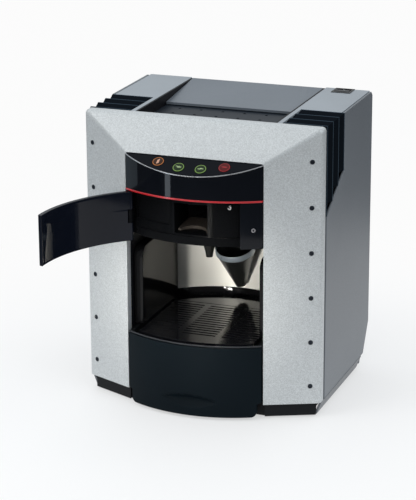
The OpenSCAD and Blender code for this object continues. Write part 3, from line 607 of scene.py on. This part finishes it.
class COFFEE_OT_top(BuildOperator):
    """Build the top rails, vents, cup warmer, tank lid and power switch."""

    bl_idname = "coffee.top"
    bl_label = "Top"

    def execute(self, context):
        colours = context.scene.coffee_colours
        rails = satin_paint("Rail paint", colours.rails, 0.38)
        # The second colour is a painted highlight, laid along each louvre's raised edge.
        vents = self.painted_highlight_louvres("Vent black with painted edge highlights", (0.006, 0.008, 0.011), (0.045, 0.065, 0.085))
        for node in ("top_rail_left", "top_rail_right"):
            refined(node, rails, 0.7, 3)
        for node in ("vent_left", "vent_right"):
            refined(node, vents, 0.5)
        refined("top_well", grained_plastic("Well black", (0.005, 0.005, 0.007), 0.5), 0.4)
        refined("warmer_deck", satin_paint("Deck paint", colours.deck, 0.4, 0.15), 0.25, angle=50)
        refined("tank_lid", satin_paint("Lid paint", colours.lid, 0.36, 0.35), 0.6, 3)
        refined("switch_bezel", gloss_black("Bezel black", (0.006, 0.006, 0.007), 0.12), 0.3)
        refined("power_switch", gloss_black("Rocker black", (0.008, 0.008, 0.009), 0.12), 0.5)
        dressed("lid_hinge_pin", steel("Pin steel", (0.55, 0.55, 0.55), 0.25))
        self.mark()
        return {"FINISHED"}

    @staticmethod
    def painted_highlight_louvres(name, colour, edge):
        """Dark plastic with a painted highlight along each louvre's raised edge, the last part of every step in
        Y.
        """
        f = Finish(name)
        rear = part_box("vent_left")[1].y
        place = f.nodes.new("ShaderNodeSeparateXYZ")
        f.links.new(f.place, place.inputs["Vector"])
        steps = f.remap(place.outputs["Y"], 0, 4, rear - 4 * LOUVRE_PITCH, rear)
        part = f.nodes.new("ShaderNodeMath")
        part.operation = "FRACT"
        f.links.new(steps, part.inputs[0])
        # Painted highlight: the last part of each step blends to the lighter edge colour.
        line = f.remap(part.outputs[0], 0, 1, 0.93, 0.965)
        f.feed("Base Color", f.blend(line, colour, edge))
        f.feed("Roughness", f.remap(f.noise(700, 3), 0.32, 0.42, 0.3, 0.7))
        return f.set(Specular_IOR_Level=0.0).material

    @staticmethod
    def mark():
        """The white line on the rocker: a low bar that lies on its rear half."""
        low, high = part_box("power_switch")
        centre = (low + high) / 2
        tilt = Matrix.Rotation(math.radians(-12), 4, "X")
        bar, faces = brick((-1, 1), (1.8, 5.6), (3.9, 4.28))
        bar = bar * MM @ np.array(tilt)[:3, :3].T + np.array([centre.x, centre.y, TOP_Z - 3 * MM])
        piece = closed_mesh("rocker_mark", bar, faces)
        soften(piece, 0.15 * MM, 2)
        white = grained_plastic("Mark white", (0.75, 0.75, 0.73), 0.5)
        settle(piece, BODY_OF["power_switch"], white)


class COFFEE_OT_curved_front(BuildOperator):
    """Build the fascia, its silver line, the control panel, the red strip and the jamb."""

    bl_idname = "coffee.curved_front"
    bl_label = "Curved front"

    def execute(self, context):
        colours = context.scene.coffee_colours
        gloss = gloss_black("Fascia gloss", colours.gloss, 0.035)
        x = np.linspace(-FRONT_HALF, FRONT_HALF, 121)
        plane = panel_height(front_curve(x))
        fascia = curved_shell(x, STRIP_HIGH.z, plane - 0.92 * MM, 0, 3 * MM, 14)
        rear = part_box("upper_fascia")[1].y
        span = (EDGE_Y + 2 * MM, rear, STRIP_HIGH.z, OPENING_TOP - 4 * MM)
        flanges = [self.upright_wall(side, *span) for side in (-1, 1)]
        new_piece("fascia_shell", joined(fascia, *flanges), "upper_fascia", gloss, 0.25 * MM)
        trim = curved_shell(x, plane - 0.9 * MM, plane + 0.2 * MM, -0.3 * MM, 1.5 * MM, 4)
        look = steel("Trim silver", (0.55, 0.56, 0.58), 0.3)
        new_piece("smile_line", trim, "panel_trim", look, 0.3 * MM)
        strip = curved_shell(x, STRIP_LOW.z, STRIP_HIGH.z, -0.8 * MM, 4 * MM, 4)
        red = Finish("Strip red")
        red.shade(red.noise(40, 3), colours.strip, 0.9, 1.1)
        red.set(Roughness=0.22, Coat_Weight=0.5, Coat_Roughness=0.08)
        # Painted glow: the strip is no lamp; this faint red emission lightens it.
        red.set(Emission_Color=(0.8, 0.03, 0.04, 1), Emission_Strength=0.12)
        new_piece("red_line", strip, "red_strip", red.material, 0.7 * MM)
        refined("control_panel", gloss_black("Panel gloss", scaled(colours.gloss, 1.1), 0.12, 0.05), 0.2)
        dressed("button_board", grained_plastic("Board green", (0.01, 0.08, 0.03), 0.5))
        low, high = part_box("jamb_panel")
        jamb = curved_shell(np.linspace(low.x, FRONT_HALF, 31), low.z, high.z, 0, 3 * MM, 8)
        wall = self.upright_wall(1, EDGE_Y + 2 * MM, high.y, low.z, high.z)
        new_piece("jamb_shell", joined(jamb, wall), "jamb_panel", gloss, 0.25 * MM)
        refined("jamb_screw", steel("Jamb screw steel", (0.4, 0.4, 0.42), 0.25), 0.15)
        return {"FINISHED"}

    @staticmethod
    def upright_wall(side, y0, y1, z0, z1):
        """A flat wall, 2.4 mm thick, at the end of a curved piece; it runs back into the casing."""
        ys, zs = np.meshgrid([y0, (y0 + y1) / 2, y1], [z0, (z0 + z1) / 2, z1])
        outer = np.stack([np.full_like(ys, side * FRONT_HALF), ys, zs], axis=-1)
        inner = np.stack([np.full_like(ys, side * (FRONT_HALF - 2.4 * MM)), ys, zs], axis=-1)
        return solid_between(outer, inner)


class COFFEE_OT_buttons(BuildOperator):
    """Build the four push buttons with their lit rings and symbols."""

    bl_idname = "coffee.buttons"
    bl_label = "Buttons"

    TINTS = {
        "button_power": ((1.0, 0.33, 0.06), (0.030, 0.010, 0.003)),
        "button_short_cup": ((0.50, 0.85, 0.18), (0.008, 0.022, 0.004)),
        "button_long_cup": ((0.50, 0.85, 0.18), (0.008, 0.022, 0.004)),
        "button_stop": ((0.75, 0.02, 0.03), (0.085, 0.002, 0.003)),
    }

    LEVEL = {"button_power": 0.42, "button_short_cup": 0.34, "button_long_cup": 0.34, "button_stop": 0.22}

    def execute(self, context):
        for node in BUTTONS:
            self.button(node)
        return {"FINISHED"}

    def button(self, node):
        """A flat cap with a rounded rim and a flange, a lit ring on it and its symbol."""
        low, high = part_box(node)
        x = (low.x + high.x) / 2
        place = self.face_place(node, x)
        glow, base = self.TINTS[node]
        crown = [(0, 0.6), (5, 0.58), (6.4, 0.5), (7.0, 0.3), (7.2, 0)]
        flange = [(7.2, -3.6), (8.4, -3.6), (8.4, -5), (0, -5)]
        shape = revolved(np.array(crown + flange) * MM, [place], 64)
        new_piece(node + "_cap", shape, node, gloss_black(node + " cap", base, 0.12), angle=40)
        ring = [(6.05, 0.5), (6.2, 0.68), (6.75, 0.6), (6.85, 0.35), (6.05, 0.35)]
        lit = closed_mesh(node + "_ring", *revolved(np.array(ring + ring[:1]) * MM, [place], 64))
        soften(lit, 0, 2, 50)
        settle(lit, BODY_OF[node], glowing(node + " ring light", glow, self.LEVEL[node], base))
        symbol = closed_mesh(node + "_symbol", *joined(*self.symbol(node, place)))
        soften(symbol, 0, 2, 50)
        bright = tuple(0.35 + 0.65 * c for c in glow) if node != "button_stop" else glow
        look = glowing(node + " symbol light", bright, 1.4 * self.LEVEL[node], base)
        settle(symbol, BODY_OF[node], look)

    @staticmethod
    def face_place(node, x):
        """The middle of the button's face on the tilted panel."""
        reach = 8.4 * MM * math.cos(PANEL_TILT)
        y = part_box(node)[1].y - reach - 5 * MM * math.sin(PANEL_TILT)
        z = float(panel_height(y))
        return Matrix.Translation((x, y, z)) @ Matrix.Rotation(PANEL_TILT, 4, "X")

    @staticmethod
    def bar(place, x0, x1, y_of, thick):
        """A raised ribbon along a curve y_of(x), as thick as its width, 0.75 mm above the panel."""
        x = np.linspace(x0, x1, 17)
        y = y_of(x)
        side = np.stack([x, y], axis=-1)
        taper = thick * np.sqrt(np.clip(1 - ((x - (x0 + x1) / 2) / ((x1 - x0) / 2)) ** 2, 0.02, 1))
        upper = np.stack([side[:, 0], side[:, 1] + taper, np.full_like(x, 0.74)], axis=-1)
        lower = np.stack([side[:, 0], side[:, 1] - taper, np.full_like(x, 0.74)], axis=-1)
        top = np.stack([lower, upper])
        base = top - np.array([0, 0, 0.3])
        points, quads = solid_between(top * MM, base * MM)
        m = np.array(place)
        return points @ m[:3, :3].T + m[:3, 3], quads

    def symbol(self, node, place):
        """Each button's mark: rising steam, a short cup, a long cup or a plain bar."""
        if node == "button_power":
            return [
                self.bar(place, -1.5, 1.5, lambda x, rise=rise: rise + 0.8 * np.sin(2 * x), 1.15)
                for rise in (-2.2, 0, 2.2)
            ]
        if node == "button_short_cup":
            wave = self.bar(place, -4.0, 4.0, lambda x: 0.9 - 0.10 * x + 0.35 * np.sin(1.5 * x), 0.55)
            return [wave, self.bar(place, -2.0, 3.2, lambda x: -0.6 - 0.05 * x, 0.4)]
        if node == "button_long_cup":
            wave = self.bar(place, -4.0, 4.0, lambda x: 0.2 + 0.12 * x + 0.3 * np.sin(1.3 * x), 0.55)
            return [wave, self.bar(place, -1.2, 2.4, lambda x: np.full_like(x, 1.1), 0.5)]
        return [self.bar(place, -3.6, 3.6, lambda x: np.full_like(x, 0.3), 0.75)]


class COFFEE_OT_door(BuildOperator):
    """Build the curved door in its open place, with its pin and catch."""

    bl_idname = "coffee.door"
    bl_label = "Door"

    def execute(self, context):
        edge = context.scene.coffee_sizes.door_edge
        gloss = gloss_black("Door gloss", (0.0045, 0.006, 0.011), 0.045)
        points, faces = self.leaf(edge)
        shape = joined((turned_about_hinge(points, -DOOR_OPEN), faces), self.knuckles())
        new_piece("door_leaf", shape, "brew_door", gloss, 0.0, 40)
        dressed("door_hinge_pin", steel("Hinge pin steel", (0.5, 0.5, 0.5), 0.25))
        white = grained_plastic("Catch white", (0.70, 0.70, 0.68), 0.4)
        new_piece("door_catch_hook", self.hook(), "door_catch", white, angle=50)
        return {"FINISHED"}

    @staticmethod
    def hook():
        """A round wire along a curve: out of the housing, then three quarters of a circle to a round tip."""
        low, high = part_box("door_catch")
        x, z = (low.x + high.x) / 2, (low.z + high.z) / 2
        bend, wire = 1.7 * MM, 0.72 * MM
        closed_door = float(front_curve(x + bend + wire, DOOR_T))
        y = max(low.y + 0.9 * MM, closed_door + wire + 0.3 * MM)
        out = np.linspace(high.y, y, 6)[:-1]
        stem = np.column_stack([np.full(5, x), out, np.full(5, z + bend)])
        turn = np.linspace(0, 1.5 * np.pi, 22)
        loop = np.column_stack([x + bend * np.sin(turn), np.full(22, y), z + bend * np.cos(turn)])
        path = np.concatenate([stem, loop])
        ahead = np.gradient(path, axis=0)
        ahead /= np.linalg.norm(ahead, axis=1, keepdims=True)
        side = np.cross(ahead, [0.3, 0.1, 0.95])
        side /= np.linalg.norm(side, axis=1, keepdims=True)
        over = np.cross(ahead, side)
        around = np.linspace(0, 2 * np.pi, 15)[:-1]
        width = wire * np.sqrt(np.clip(np.minimum(1, np.arange(27)[::-1] / 2.0), 0.02, 1))
        ring = side[:, None] * np.cos(around)[None, :, None] + over[:, None] * np.sin(around)[None, :, None]
        tube = path[:, None] + ring * width[:, None, None]
        quads = grid_quads(27, 14, wrap_cols=True).tolist()
        return tube.reshape(-1, 3), quads + [list(range(14)), list(range(26 * 14, 27 * 14))]

    @staticmethod
    def leaf(edge):
        """A plate along the closed front, its rim rounded by quarter circles, cut short beside the lug."""
        xs, sunk_x = rounded_run(HINGE.x + 0.5 * MM, DOOR_FREE_X, edge, 90)
        short = rounded_run(HINGE.x + BARREL_R + 0.5 * MM, DOOR_FREE_X, edge, 90)[0]
        zs, sunk_z = rounded_run(DOOR_LOW.z, DOOR_HIGH.z, 0.7 * MM, 24)
        step = 0.02 * MM
        rows = np.sort([*zs, LUG_LOW - step, LUG_LOW, LUG_HIGH, LUG_HIGH + step])
        beside_lug = (rows >= LUG_LOW) & (rows <= LUG_HIGH)
        gx = np.where(beside_lug[:, None], short[None, :], xs[None, :])
        gz = np.broadcast_to(rows[:, None], gx.shape)
        depth = np.maximum(sunk_x[None, :], np.interp(rows, zs, sunk_z)[:, None])
        outer = np.stack([gx, front_curve(gx, depth), gz], axis=-1)
        inner = np.stack([gx, front_curve(gx, DOOR_T - depth), gz], axis=-1)
        return solid_between(outer, inner)

    @staticmethod
    def knuckles():
        """The two barrels that the hinge pin runs through, each a tube with rounded lips."""
        parts = []
        for low, high in ((DOOR_LOW.z, LUG_LOW), (LUG_HIGH, DOOR_HIGH.z)):
            r, bore, lip = BARREL_R, 1.56 * MM, 0.5 * MM
            foot = [(bore, low), (r - lip, low), (r, low + lip)]
            head = [(r, high - lip), (r - lip, high), (bore, high)]
            place = Matrix.Translation((HINGE.x, HINGE.y, 0))
            parts.append(revolved(foot + head + foot[:1], [place], 40))
        return joined(*parts)


class COFFEE_OT_brew_side(BuildOperator):
    """Build the brew housing and what it holds."""

    bl_idname = "coffee.brew_side"
    bl_label = "Brew side"

    def execute(self, context):
        black = grained_plastic("Housing black", (0.0035, 0.0038, 0.0045), 0.3, 800, 0.1, 0.03)
        refined("brew_housing", black, 0.5)
        refined("capsule_cradle", grained_plastic("Cradle brown", (0.05, 0.042, 0.036), 0.4), 0.3)
        refined("brew_group", steel("Cast aluminium", (0.35, 0.35, 0.36), 0.4), 0.5)
        refined("brew_piston", steel("Piston steel", (0.6, 0.6, 0.6), 0.2), 0.3)
        refined("coffee_spout", grained_plastic("Spout black", (0.010, 0.010, 0.009), 0.35), 0.2)
        self.funnel()
        refined("capsule_chute", grained_plastic("Chute grey", (0.05, 0.053, 0.058), 0.5), 0.4)
        return {"FINISHED"}

    @staticmethod
    def funnel():
        """A leaning cone with a wide collar: a profile of radius and height turned about the funnel's axis."""
        mouth, lean = (0, 97.5 * MM, 162.6 * MM), math.radians(21.6)
        place = Matrix.Translation(mouth) @ Matrix.Rotation(lean, 4, "X")
        outside = [(6, -54), (7, -54.2), (7.4, -53.4), (25, 0), (26, 1), (26, 1.4)]
        inside = [(24.4, 1.4), (24, 0.4), (6, -54)]
        shape = revolved(np.array(outside + inside) * MM, [place], 96)
        # Painted shade: the steel is near black, standing in for the dark surroundings that the cone reflects.
        look = steel("Funnel steel painted dark", (0.038, 0.042, 0.041), 0.32, (4, 4, 12), 0.6, 0.1)
        new_piece("funnel_cone", shape, "drain_funnel", look, angle=50)
        rim = [(24.4, 1.4), (26, 1.4), (26, 8.2), (25.4, 9), (24.9, 9), (24.4, 8.6), (24.4, 1.4)]
        collar = closed_mesh("funnel_collar", *revolved(np.array(rim) * MM, [place], 96))
        soften(collar, 0, 2, 50)
        # Painted light: the collar is a lighter, less metallic copy of the funnel steel, lifting its rim where
        # the housing overhead shades it.
        bright = steel("Collar steel painted light", (0.19, 0.22, 0.25), 0.35, None, 0.2)
        settle(collar, BODY_OF["drain_funnel"], bright)
        bracket, faces = brick((-6, 6), (122.4, 124.9), (164, 172))
        foot = closed_mesh("funnel_bracket", bracket * MM, faces)
        soften(foot, 0.3 * MM, 2)
        settle(foot, BODY_OF["drain_funnel"], look)


class COFFEE_OT_cup_bay(BuildOperator):
    """Build the polished back wall, cheeks, ceiling and floor of the cup bay."""

    bl_idname = "coffee.cup_bay"
    bl_label = "Cup bay"

    def execute(self, context):
        # Painted reflection: the cream colour and the part-diffuse finish, lit by the bay spot, stand in for
        # the warm surroundings that the polished steel mirrors.
        look = steel("Back steel with painted cream reflection", (0.90, 0.885, 0.835), 0.34, (4, 4, 12), 0.45, 0.06)
        new_piece("splash_wall", self.wall(), "backsplash", look, 0.2 * MM, 50)
        gloss = gloss_black("Bay gloss", (0.004, 0.004, 0.0045), 0.08)
        refined("bay_cheeks", gloss, 1.2, 3)
        refined("bay_floor", gloss, 0.4)
        refined("bay_ceiling", grained_plastic("Ceiling black", (0.006, 0.006, 0.006), 0.5), 0.3)
        return {"FINISHED"}

    @staticmethod
    def wall():
        """A sheet curved about an upright axis: y = centre + sqrt((radius - inset)^2 - x^2)."""
        low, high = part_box("backsplash")
        half, sag = high.x, high.y - low.y
        radius = (half**2 + sag**2) / (2 * sag)
        x = np.linspace(-half, half, 97)
        xs, zs = np.meshgrid(x, np.linspace(low.z, high.z, 10))

        def sheet(inset):
            return np.stack([xs, high.y - radius + np.sqrt((radius - inset) ** 2 - xs**2), zs], axis=-1)

        return solid_between(sheet(0), sheet(1.2 * MM))


class COFFEE_OT_drawer(BuildOperator):
    """Build the drawer front with its finger recess, the tub, the grid and the capsule bin."""

    bl_idname = "coffee.drawer"
    bl_label = "Drawer"

    def execute(self, context):
        sizes, colours = context.scene.coffee_sizes, context.scene.coffee_colours
        satin = grained_plastic("Drawer slate", colours.slate, 0.42, 900, 0.08, 0.05)
        new_piece("drawer_face", self.face(sizes.finger_depth), "drawer_front", satin, 0.5 * MM, 40)
        self.lip()
        black = grained_plastic("Tub black", (0.006, 0.007, 0.008), 0.5)
        refined("drawer_tub", black, 0.5)
        refined("drip_grid", gloss_black("Grid gloss", (0.005, 0.005, 0.0065), 0.1), 0.35)
        refined("capsule_bin", grained_plastic("Bin grey", (0.06, 0.065, 0.07), 0.5), 0.5)
        return {"FINISHED"}

    @staticmethod
    def face(finger_depth):
        """The drawer's curved face.

        Each row has its own half width: full above the frame's foot, stepped in below it, and rounded at the
        bottom corners. The finger recess is a lens: its half height falls off with the square of x, and its
        depth grows smoothly from the rim inwards."""
        low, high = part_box("drawer_front")
        top = high.z - 2.4 * MM
        corner, step, inset_half = 6 * MM, 20.2 * MM, 81.5 * MM
        lens_z, lens_rise, lens_reach = 23 * MM, 9 * MM, 38 * MM
        lower = low.z + corner * (1 - np.cos(np.linspace(0, np.pi / 2, 12)))
        middle = np.linspace(low.z + corner, step, 8)[1:]
        upper = np.linspace(step, top, 40)[1:]
        z = np.concatenate([lower, middle, upper])
        sink = np.clip(low.z + corner - z, 0, corner)
        narrow = inset_half - (corner - np.sqrt(corner**2 - sink**2))
        half = np.where(z > step + 0.01 * MM, high.x, narrow)
        u = np.linspace(-1, 1, 141)
        xs = half[:, None] * u[None, :]
        zs = np.broadcast_to(z[:, None], xs.shape)
        lens_half = lens_rise * np.clip(1 - (xs / lens_reach) ** 2, 0, 1)
        within = np.clip(1 - np.abs(zs - lens_z) / np.maximum(lens_half, 1e-6), 0, 1)
        depth = finger_depth * (lens_half > 0) * within**1.2 * (2 - within) * lens_half / lens_rise
        outer = np.stack([xs, front_curve(xs, -1 * MM + depth), zs], axis=-1)
        inner = np.stack([xs, front_curve(xs, 3 * MM + depth), zs], axis=-1)
        return solid_between(outer, inner)

    @staticmethod
    def lip():
        """The lip along the drawer's top, with a dark gap under it. Its rounded top catches a real highlight,
        and its grey, lighter than the drawer's slate, is a painted highlight.
        """
        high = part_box("drawer_front")[1]
        x = np.linspace(-high.x, high.x, 121)
        shape = curved_shell(x, high.z - 1.7 * MM, high.z, -0.2 * MM, 2.2 * MM, 4)
        piece = closed_mesh("drawer_lip", *shape)
        soften(piece, 0.6 * MM, 3)
        # Painted highlight: a grey lighter than the drawer's slate.
        look = gloss_black("Lip gloss with painted highlight", (0.03, 0.032, 0.036), 0.12)
        settle(piece, BODY_OF["drawer_front"], look)


class COFFEE_OT_inside(BuildOperator):
    """Finish the parts inside the casing."""

    bl_idname = "coffee.inside"
    bl_label = "Inside"

    def execute(self, context):
        black = grained_plastic("Inner black", (0.006, 0.0065, 0.008), 0.5)
        dressed("inner_wall_left", black)
        dressed("inner_wall_right", black)
        refined("water_tank", clear_plastic("Tank plastic", (0.80, 0.88, 0.94)), 0.8)
        dressed("pump", steel("Pump brass", (0.52, 0.40, 0.14), 0.3))
        dressed("boiler", steel("Boiler aluminium", (0.50, 0.51, 0.53), 0.42))
        for node, name, colour, roughness in (
            ("flow_meter", "Meter white", (0.62, 0.62, 0.56), 0.45),
            ("pump_mount", "Mount rubber", (0.010, 0.010, 0.010), 0.75),
            ("control_board", "Circuit green", (0.012, 0.09, 0.035), 0.45),
            ("transformer", "Winding varnish", (0.22, 0.08, 0.025), 0.35),
            ("water_hoses", "Hose silicone", (0.68, 0.70, 0.72), 0.35),
        ):
            dressed(node, grained_plastic(name, colour, roughness))
        return {"FINISHED"}


class COFFEE_OT_stage(BuildOperator):
    """Set the pale floor, the soft lights and the camera."""

    bl_idname = "coffee.stage"
    bl_label = "Stage"

    def execute(self, context):
        stage = context.scene.coffee_stage
        self.floor(stage.floor)
        self.world(context.scene, stage.dome)
        self.lights(stage.key, stage.fill)
        self.camera(context.scene, stage.lens)
        context.scene.view_settings.view_transform = "Standard"
        return {"FINISHED"}

    @staticmethod
    def floor(colour):
        """A round floor that ends a little way beyond the machine."""
        turn = np.linspace(0, 2 * np.pi, 129)[:-1]
        rim = np.column_stack([0.85 * np.cos(turn), 0.85 * np.sin(turn), np.zeros(128)])
        mesh = bpy.data.meshes.new("floor")
        mesh.from_pydata(rim.tolist(), [], [list(range(128))])
        floor = bpy.data.objects.new("floor", mesh)
        bpy.context.scene.collection.objects.link(floor)
        look = Finish("Floor white")
        look.shade(look.noise(3, 2), colour, 0.99, 1.0)
        look.set(Roughness=0.6)
        nodes, links = look.nodes, look.links
        reach = nodes.new("ShaderNodeVectorMath")
        reach.operation = "LENGTH"
        links.new(look.place, reach.inputs[0])
        fade = nodes.new("ShaderNodeMapRange")
        fade.interpolation_type = "SMOOTHSTEP"
        for name, value in (("From Min", 0.2), ("From Max", 0.7), ("To Min", 0.55)):
            fade.inputs[name].default_value = value
        links.new(reach.outputs["Value"], fade.inputs["Value"])
        white = nodes.new("ShaderNodeEmission")
        white.inputs["Color"].default_value = (0.97, 0.97, 0.97, 1)
        both = nodes.new("ShaderNodeMixShader")
        links.new(fade.outputs["Result"], both.inputs["Fac"])
        links.new(look.shader.outputs["BSDF"], both.inputs[1])
        links.new(white.outputs["Emission"], both.inputs[2])
        links.new(both.outputs["Shader"], nodes["Material Output"].inputs["Surface"])
        mesh.materials.append(look.material)

    @staticmethod
    def world(scene, dome):
        """A dome that is bright overhead and dark round the horizon, behind a plain white backdrop."""
        world = bpy.data.worlds.new("Studio")
        world.use_nodes = True
        nodes, links = world.node_tree.nodes, world.node_tree.links
        backdrop = nodes["Background"]
        backdrop.inputs["Color"].default_value = (0.97, 0.97, 0.97, 1)
        backdrop.inputs["Strength"].default_value = 1.0
        sky = nodes.new("ShaderNodeBackground")
        sky.inputs["Color"].default_value = (0.93, 0.97, 1.0, 1)
        up = nodes.new("ShaderNodeSeparateXYZ")
        links.new(nodes.new("ShaderNodeTexCoord").outputs["Generated"], up.inputs["Vector"])
        rise = nodes.new("ShaderNodeMapRange")
        rise.interpolation_type = "SMOOTHSTEP"
        for name, value in (("From Min", -0.05), ("From Max", 0.55), ("To Min", 0.06 * dome), ("To Max", dome)):
            rise.inputs[name].default_value = value
        links.new(up.outputs["Z"], rise.inputs["Value"])
        links.new(rise.outputs["Result"], sky.inputs["Strength"])
        chosen = nodes.new("ShaderNodeMixShader")
        links.new(nodes.new("ShaderNodeLightPath").outputs["Is Camera Ray"], chosen.inputs["Fac"])
        links.new(sky.outputs["Background"], chosen.inputs[1])
        links.new(backdrop.outputs["Background"], chosen.inputs[2])
        links.new(chosen.outputs["Shader"], nodes["World Output"].inputs["Surface"])
        scene.world = world

    @staticmethod
    def lights(key, fill):
        """Area lights aimed at the machine's middle, and a spot into the bay.

        The two cards are faint and show as soft bands in the gloss."""
        middle = Vector((0, 0, 0.18))
        for name, place, size, power, colour in (
            ("Key", (-1.3, -1.3, 1.9), (1.3, 1.3), key, (1.0, 0.98, 0.95)),
            ("Fill", (2.2, -1.0, 1.3), (1.0, 1.0), fill, (0.78, 0.90, 1.0)),
            ("Narrow card", (-0.50, -0.68, 0.09), (0.075, 0.42), 0.45, (0.80, 0.90, 1.0)),
            ("Wide card", (-0.78, -0.20, 0.16), (0.22, 0.36), 0.20, (0.72, 0.88, 1.0)),
        ):
            data = bpy.data.lights.new(name, "AREA")
            data.shape = "RECTANGLE"
            data.size, data.size_y = size
            data.energy = power
            data.color = colour
            light = bpy.data.objects.new(name, data)
            light.location = place
            light.rotation_euler = (middle - light.location).to_track_quat("-Z", "Y").to_euler()
            bpy.context.scene.collection.objects.link(light)
        data = bpy.data.lights.new("Bay", "SPOT")
        data.energy, data.spot_size, data.spot_blend, data.shadow_soft_size = 205, math.radians(5.6), 0.5, 0.1
        data.color = (1.0, 0.97, 0.9)
        light = bpy.data.objects.new("Bay", data)
        light.location = (-0.15, -1.7, 0.22)
        light.rotation_euler = (Vector((0, 0.12, 0.15)) - light.location).to_track_quat("-Z", "Y").to_euler()
        bpy.context.scene.collection.objects.link(light)

    @staticmethod
    def camera(scene, lens):
        """A long lens from the front right and above, with angles in radians."""
        place, yaw, pitch, roll = (0.8530, -2.3056, 0.9668), 0.355, 0.3051, -0.005
        data = bpy.data.cameras.new("Camera")
        data.lens = lens
        data.sensor_width = 36
        data.clip_end = 100
        camera = bpy.data.objects.new("Camera", data)
        turn = Matrix.Rotation(yaw, 4, "Z") @ Matrix.Rotation(math.pi / 2 - pitch, 4, "X")
        camera.matrix_world = Matrix.Translation(place) @ turn @ Matrix.Rotation(roll, 4, "Z")
        scene.collection.objects.link(camera)
        scene.camera = camera


class COFFEE_PT_panel(bpy.types.Panel):
    """Lists the builders in the sidebar."""

    bl_idname = "COFFEE_PT_panel"
    bl_label = "Coffee machine"
    bl_space_type = "VIEW_3D"
    bl_region_type = "UI"
    bl_category = "Coffee machine"

    def draw(self, context):
        for operator in OPERATORS:
            self.layout.operator(operator.bl_idname)
        for group in (context.scene.coffee_sizes, context.scene.coffee_colours, context.scene.coffee_stage):
            box = self.layout.box()
            for name in group.__annotations__:
                box.prop(group, name)


OPERATORS = (
    COFFEE_OT_stage,
    COFFEE_OT_front_frame,
    COFFEE_OT_casing,
    COFFEE_OT_top,
    COFFEE_OT_curved_front,
    COFFEE_OT_buttons,
    COFFEE_OT_door,
    COFFEE_OT_brew_side,
    COFFEE_OT_cup_bay,
    COFFEE_OT_drawer,
    COFFEE_OT_inside,
)
GROUPS = {"coffee_sizes": CoffeeSizes, "coffee_colours": CoffeeColours, "coffee_stage": CoffeeStage}


def register():
    for cls in (*GROUPS.values(), *OPERATORS, COFFEE_PT_panel):
        bpy.utils.register_class(cls)
    for name, group in GROUPS.items():
        setattr(bpy.types.Scene, name, PointerProperty(type=group))


def unregister():
    for name in GROUPS:
        delattr(bpy.types.Scene, name)
    for cls in reversed((*GROUPS.values(), *OPERATORS, COFFEE_PT_panel)):
        bpy.utils.unregister_class(cls)


def main():
    register()
    for operator in OPERATORS:
        getattr(bpy.ops.coffee, operator.bl_idname.split(".")[1])()


if __name__ == "__main__":
    main()
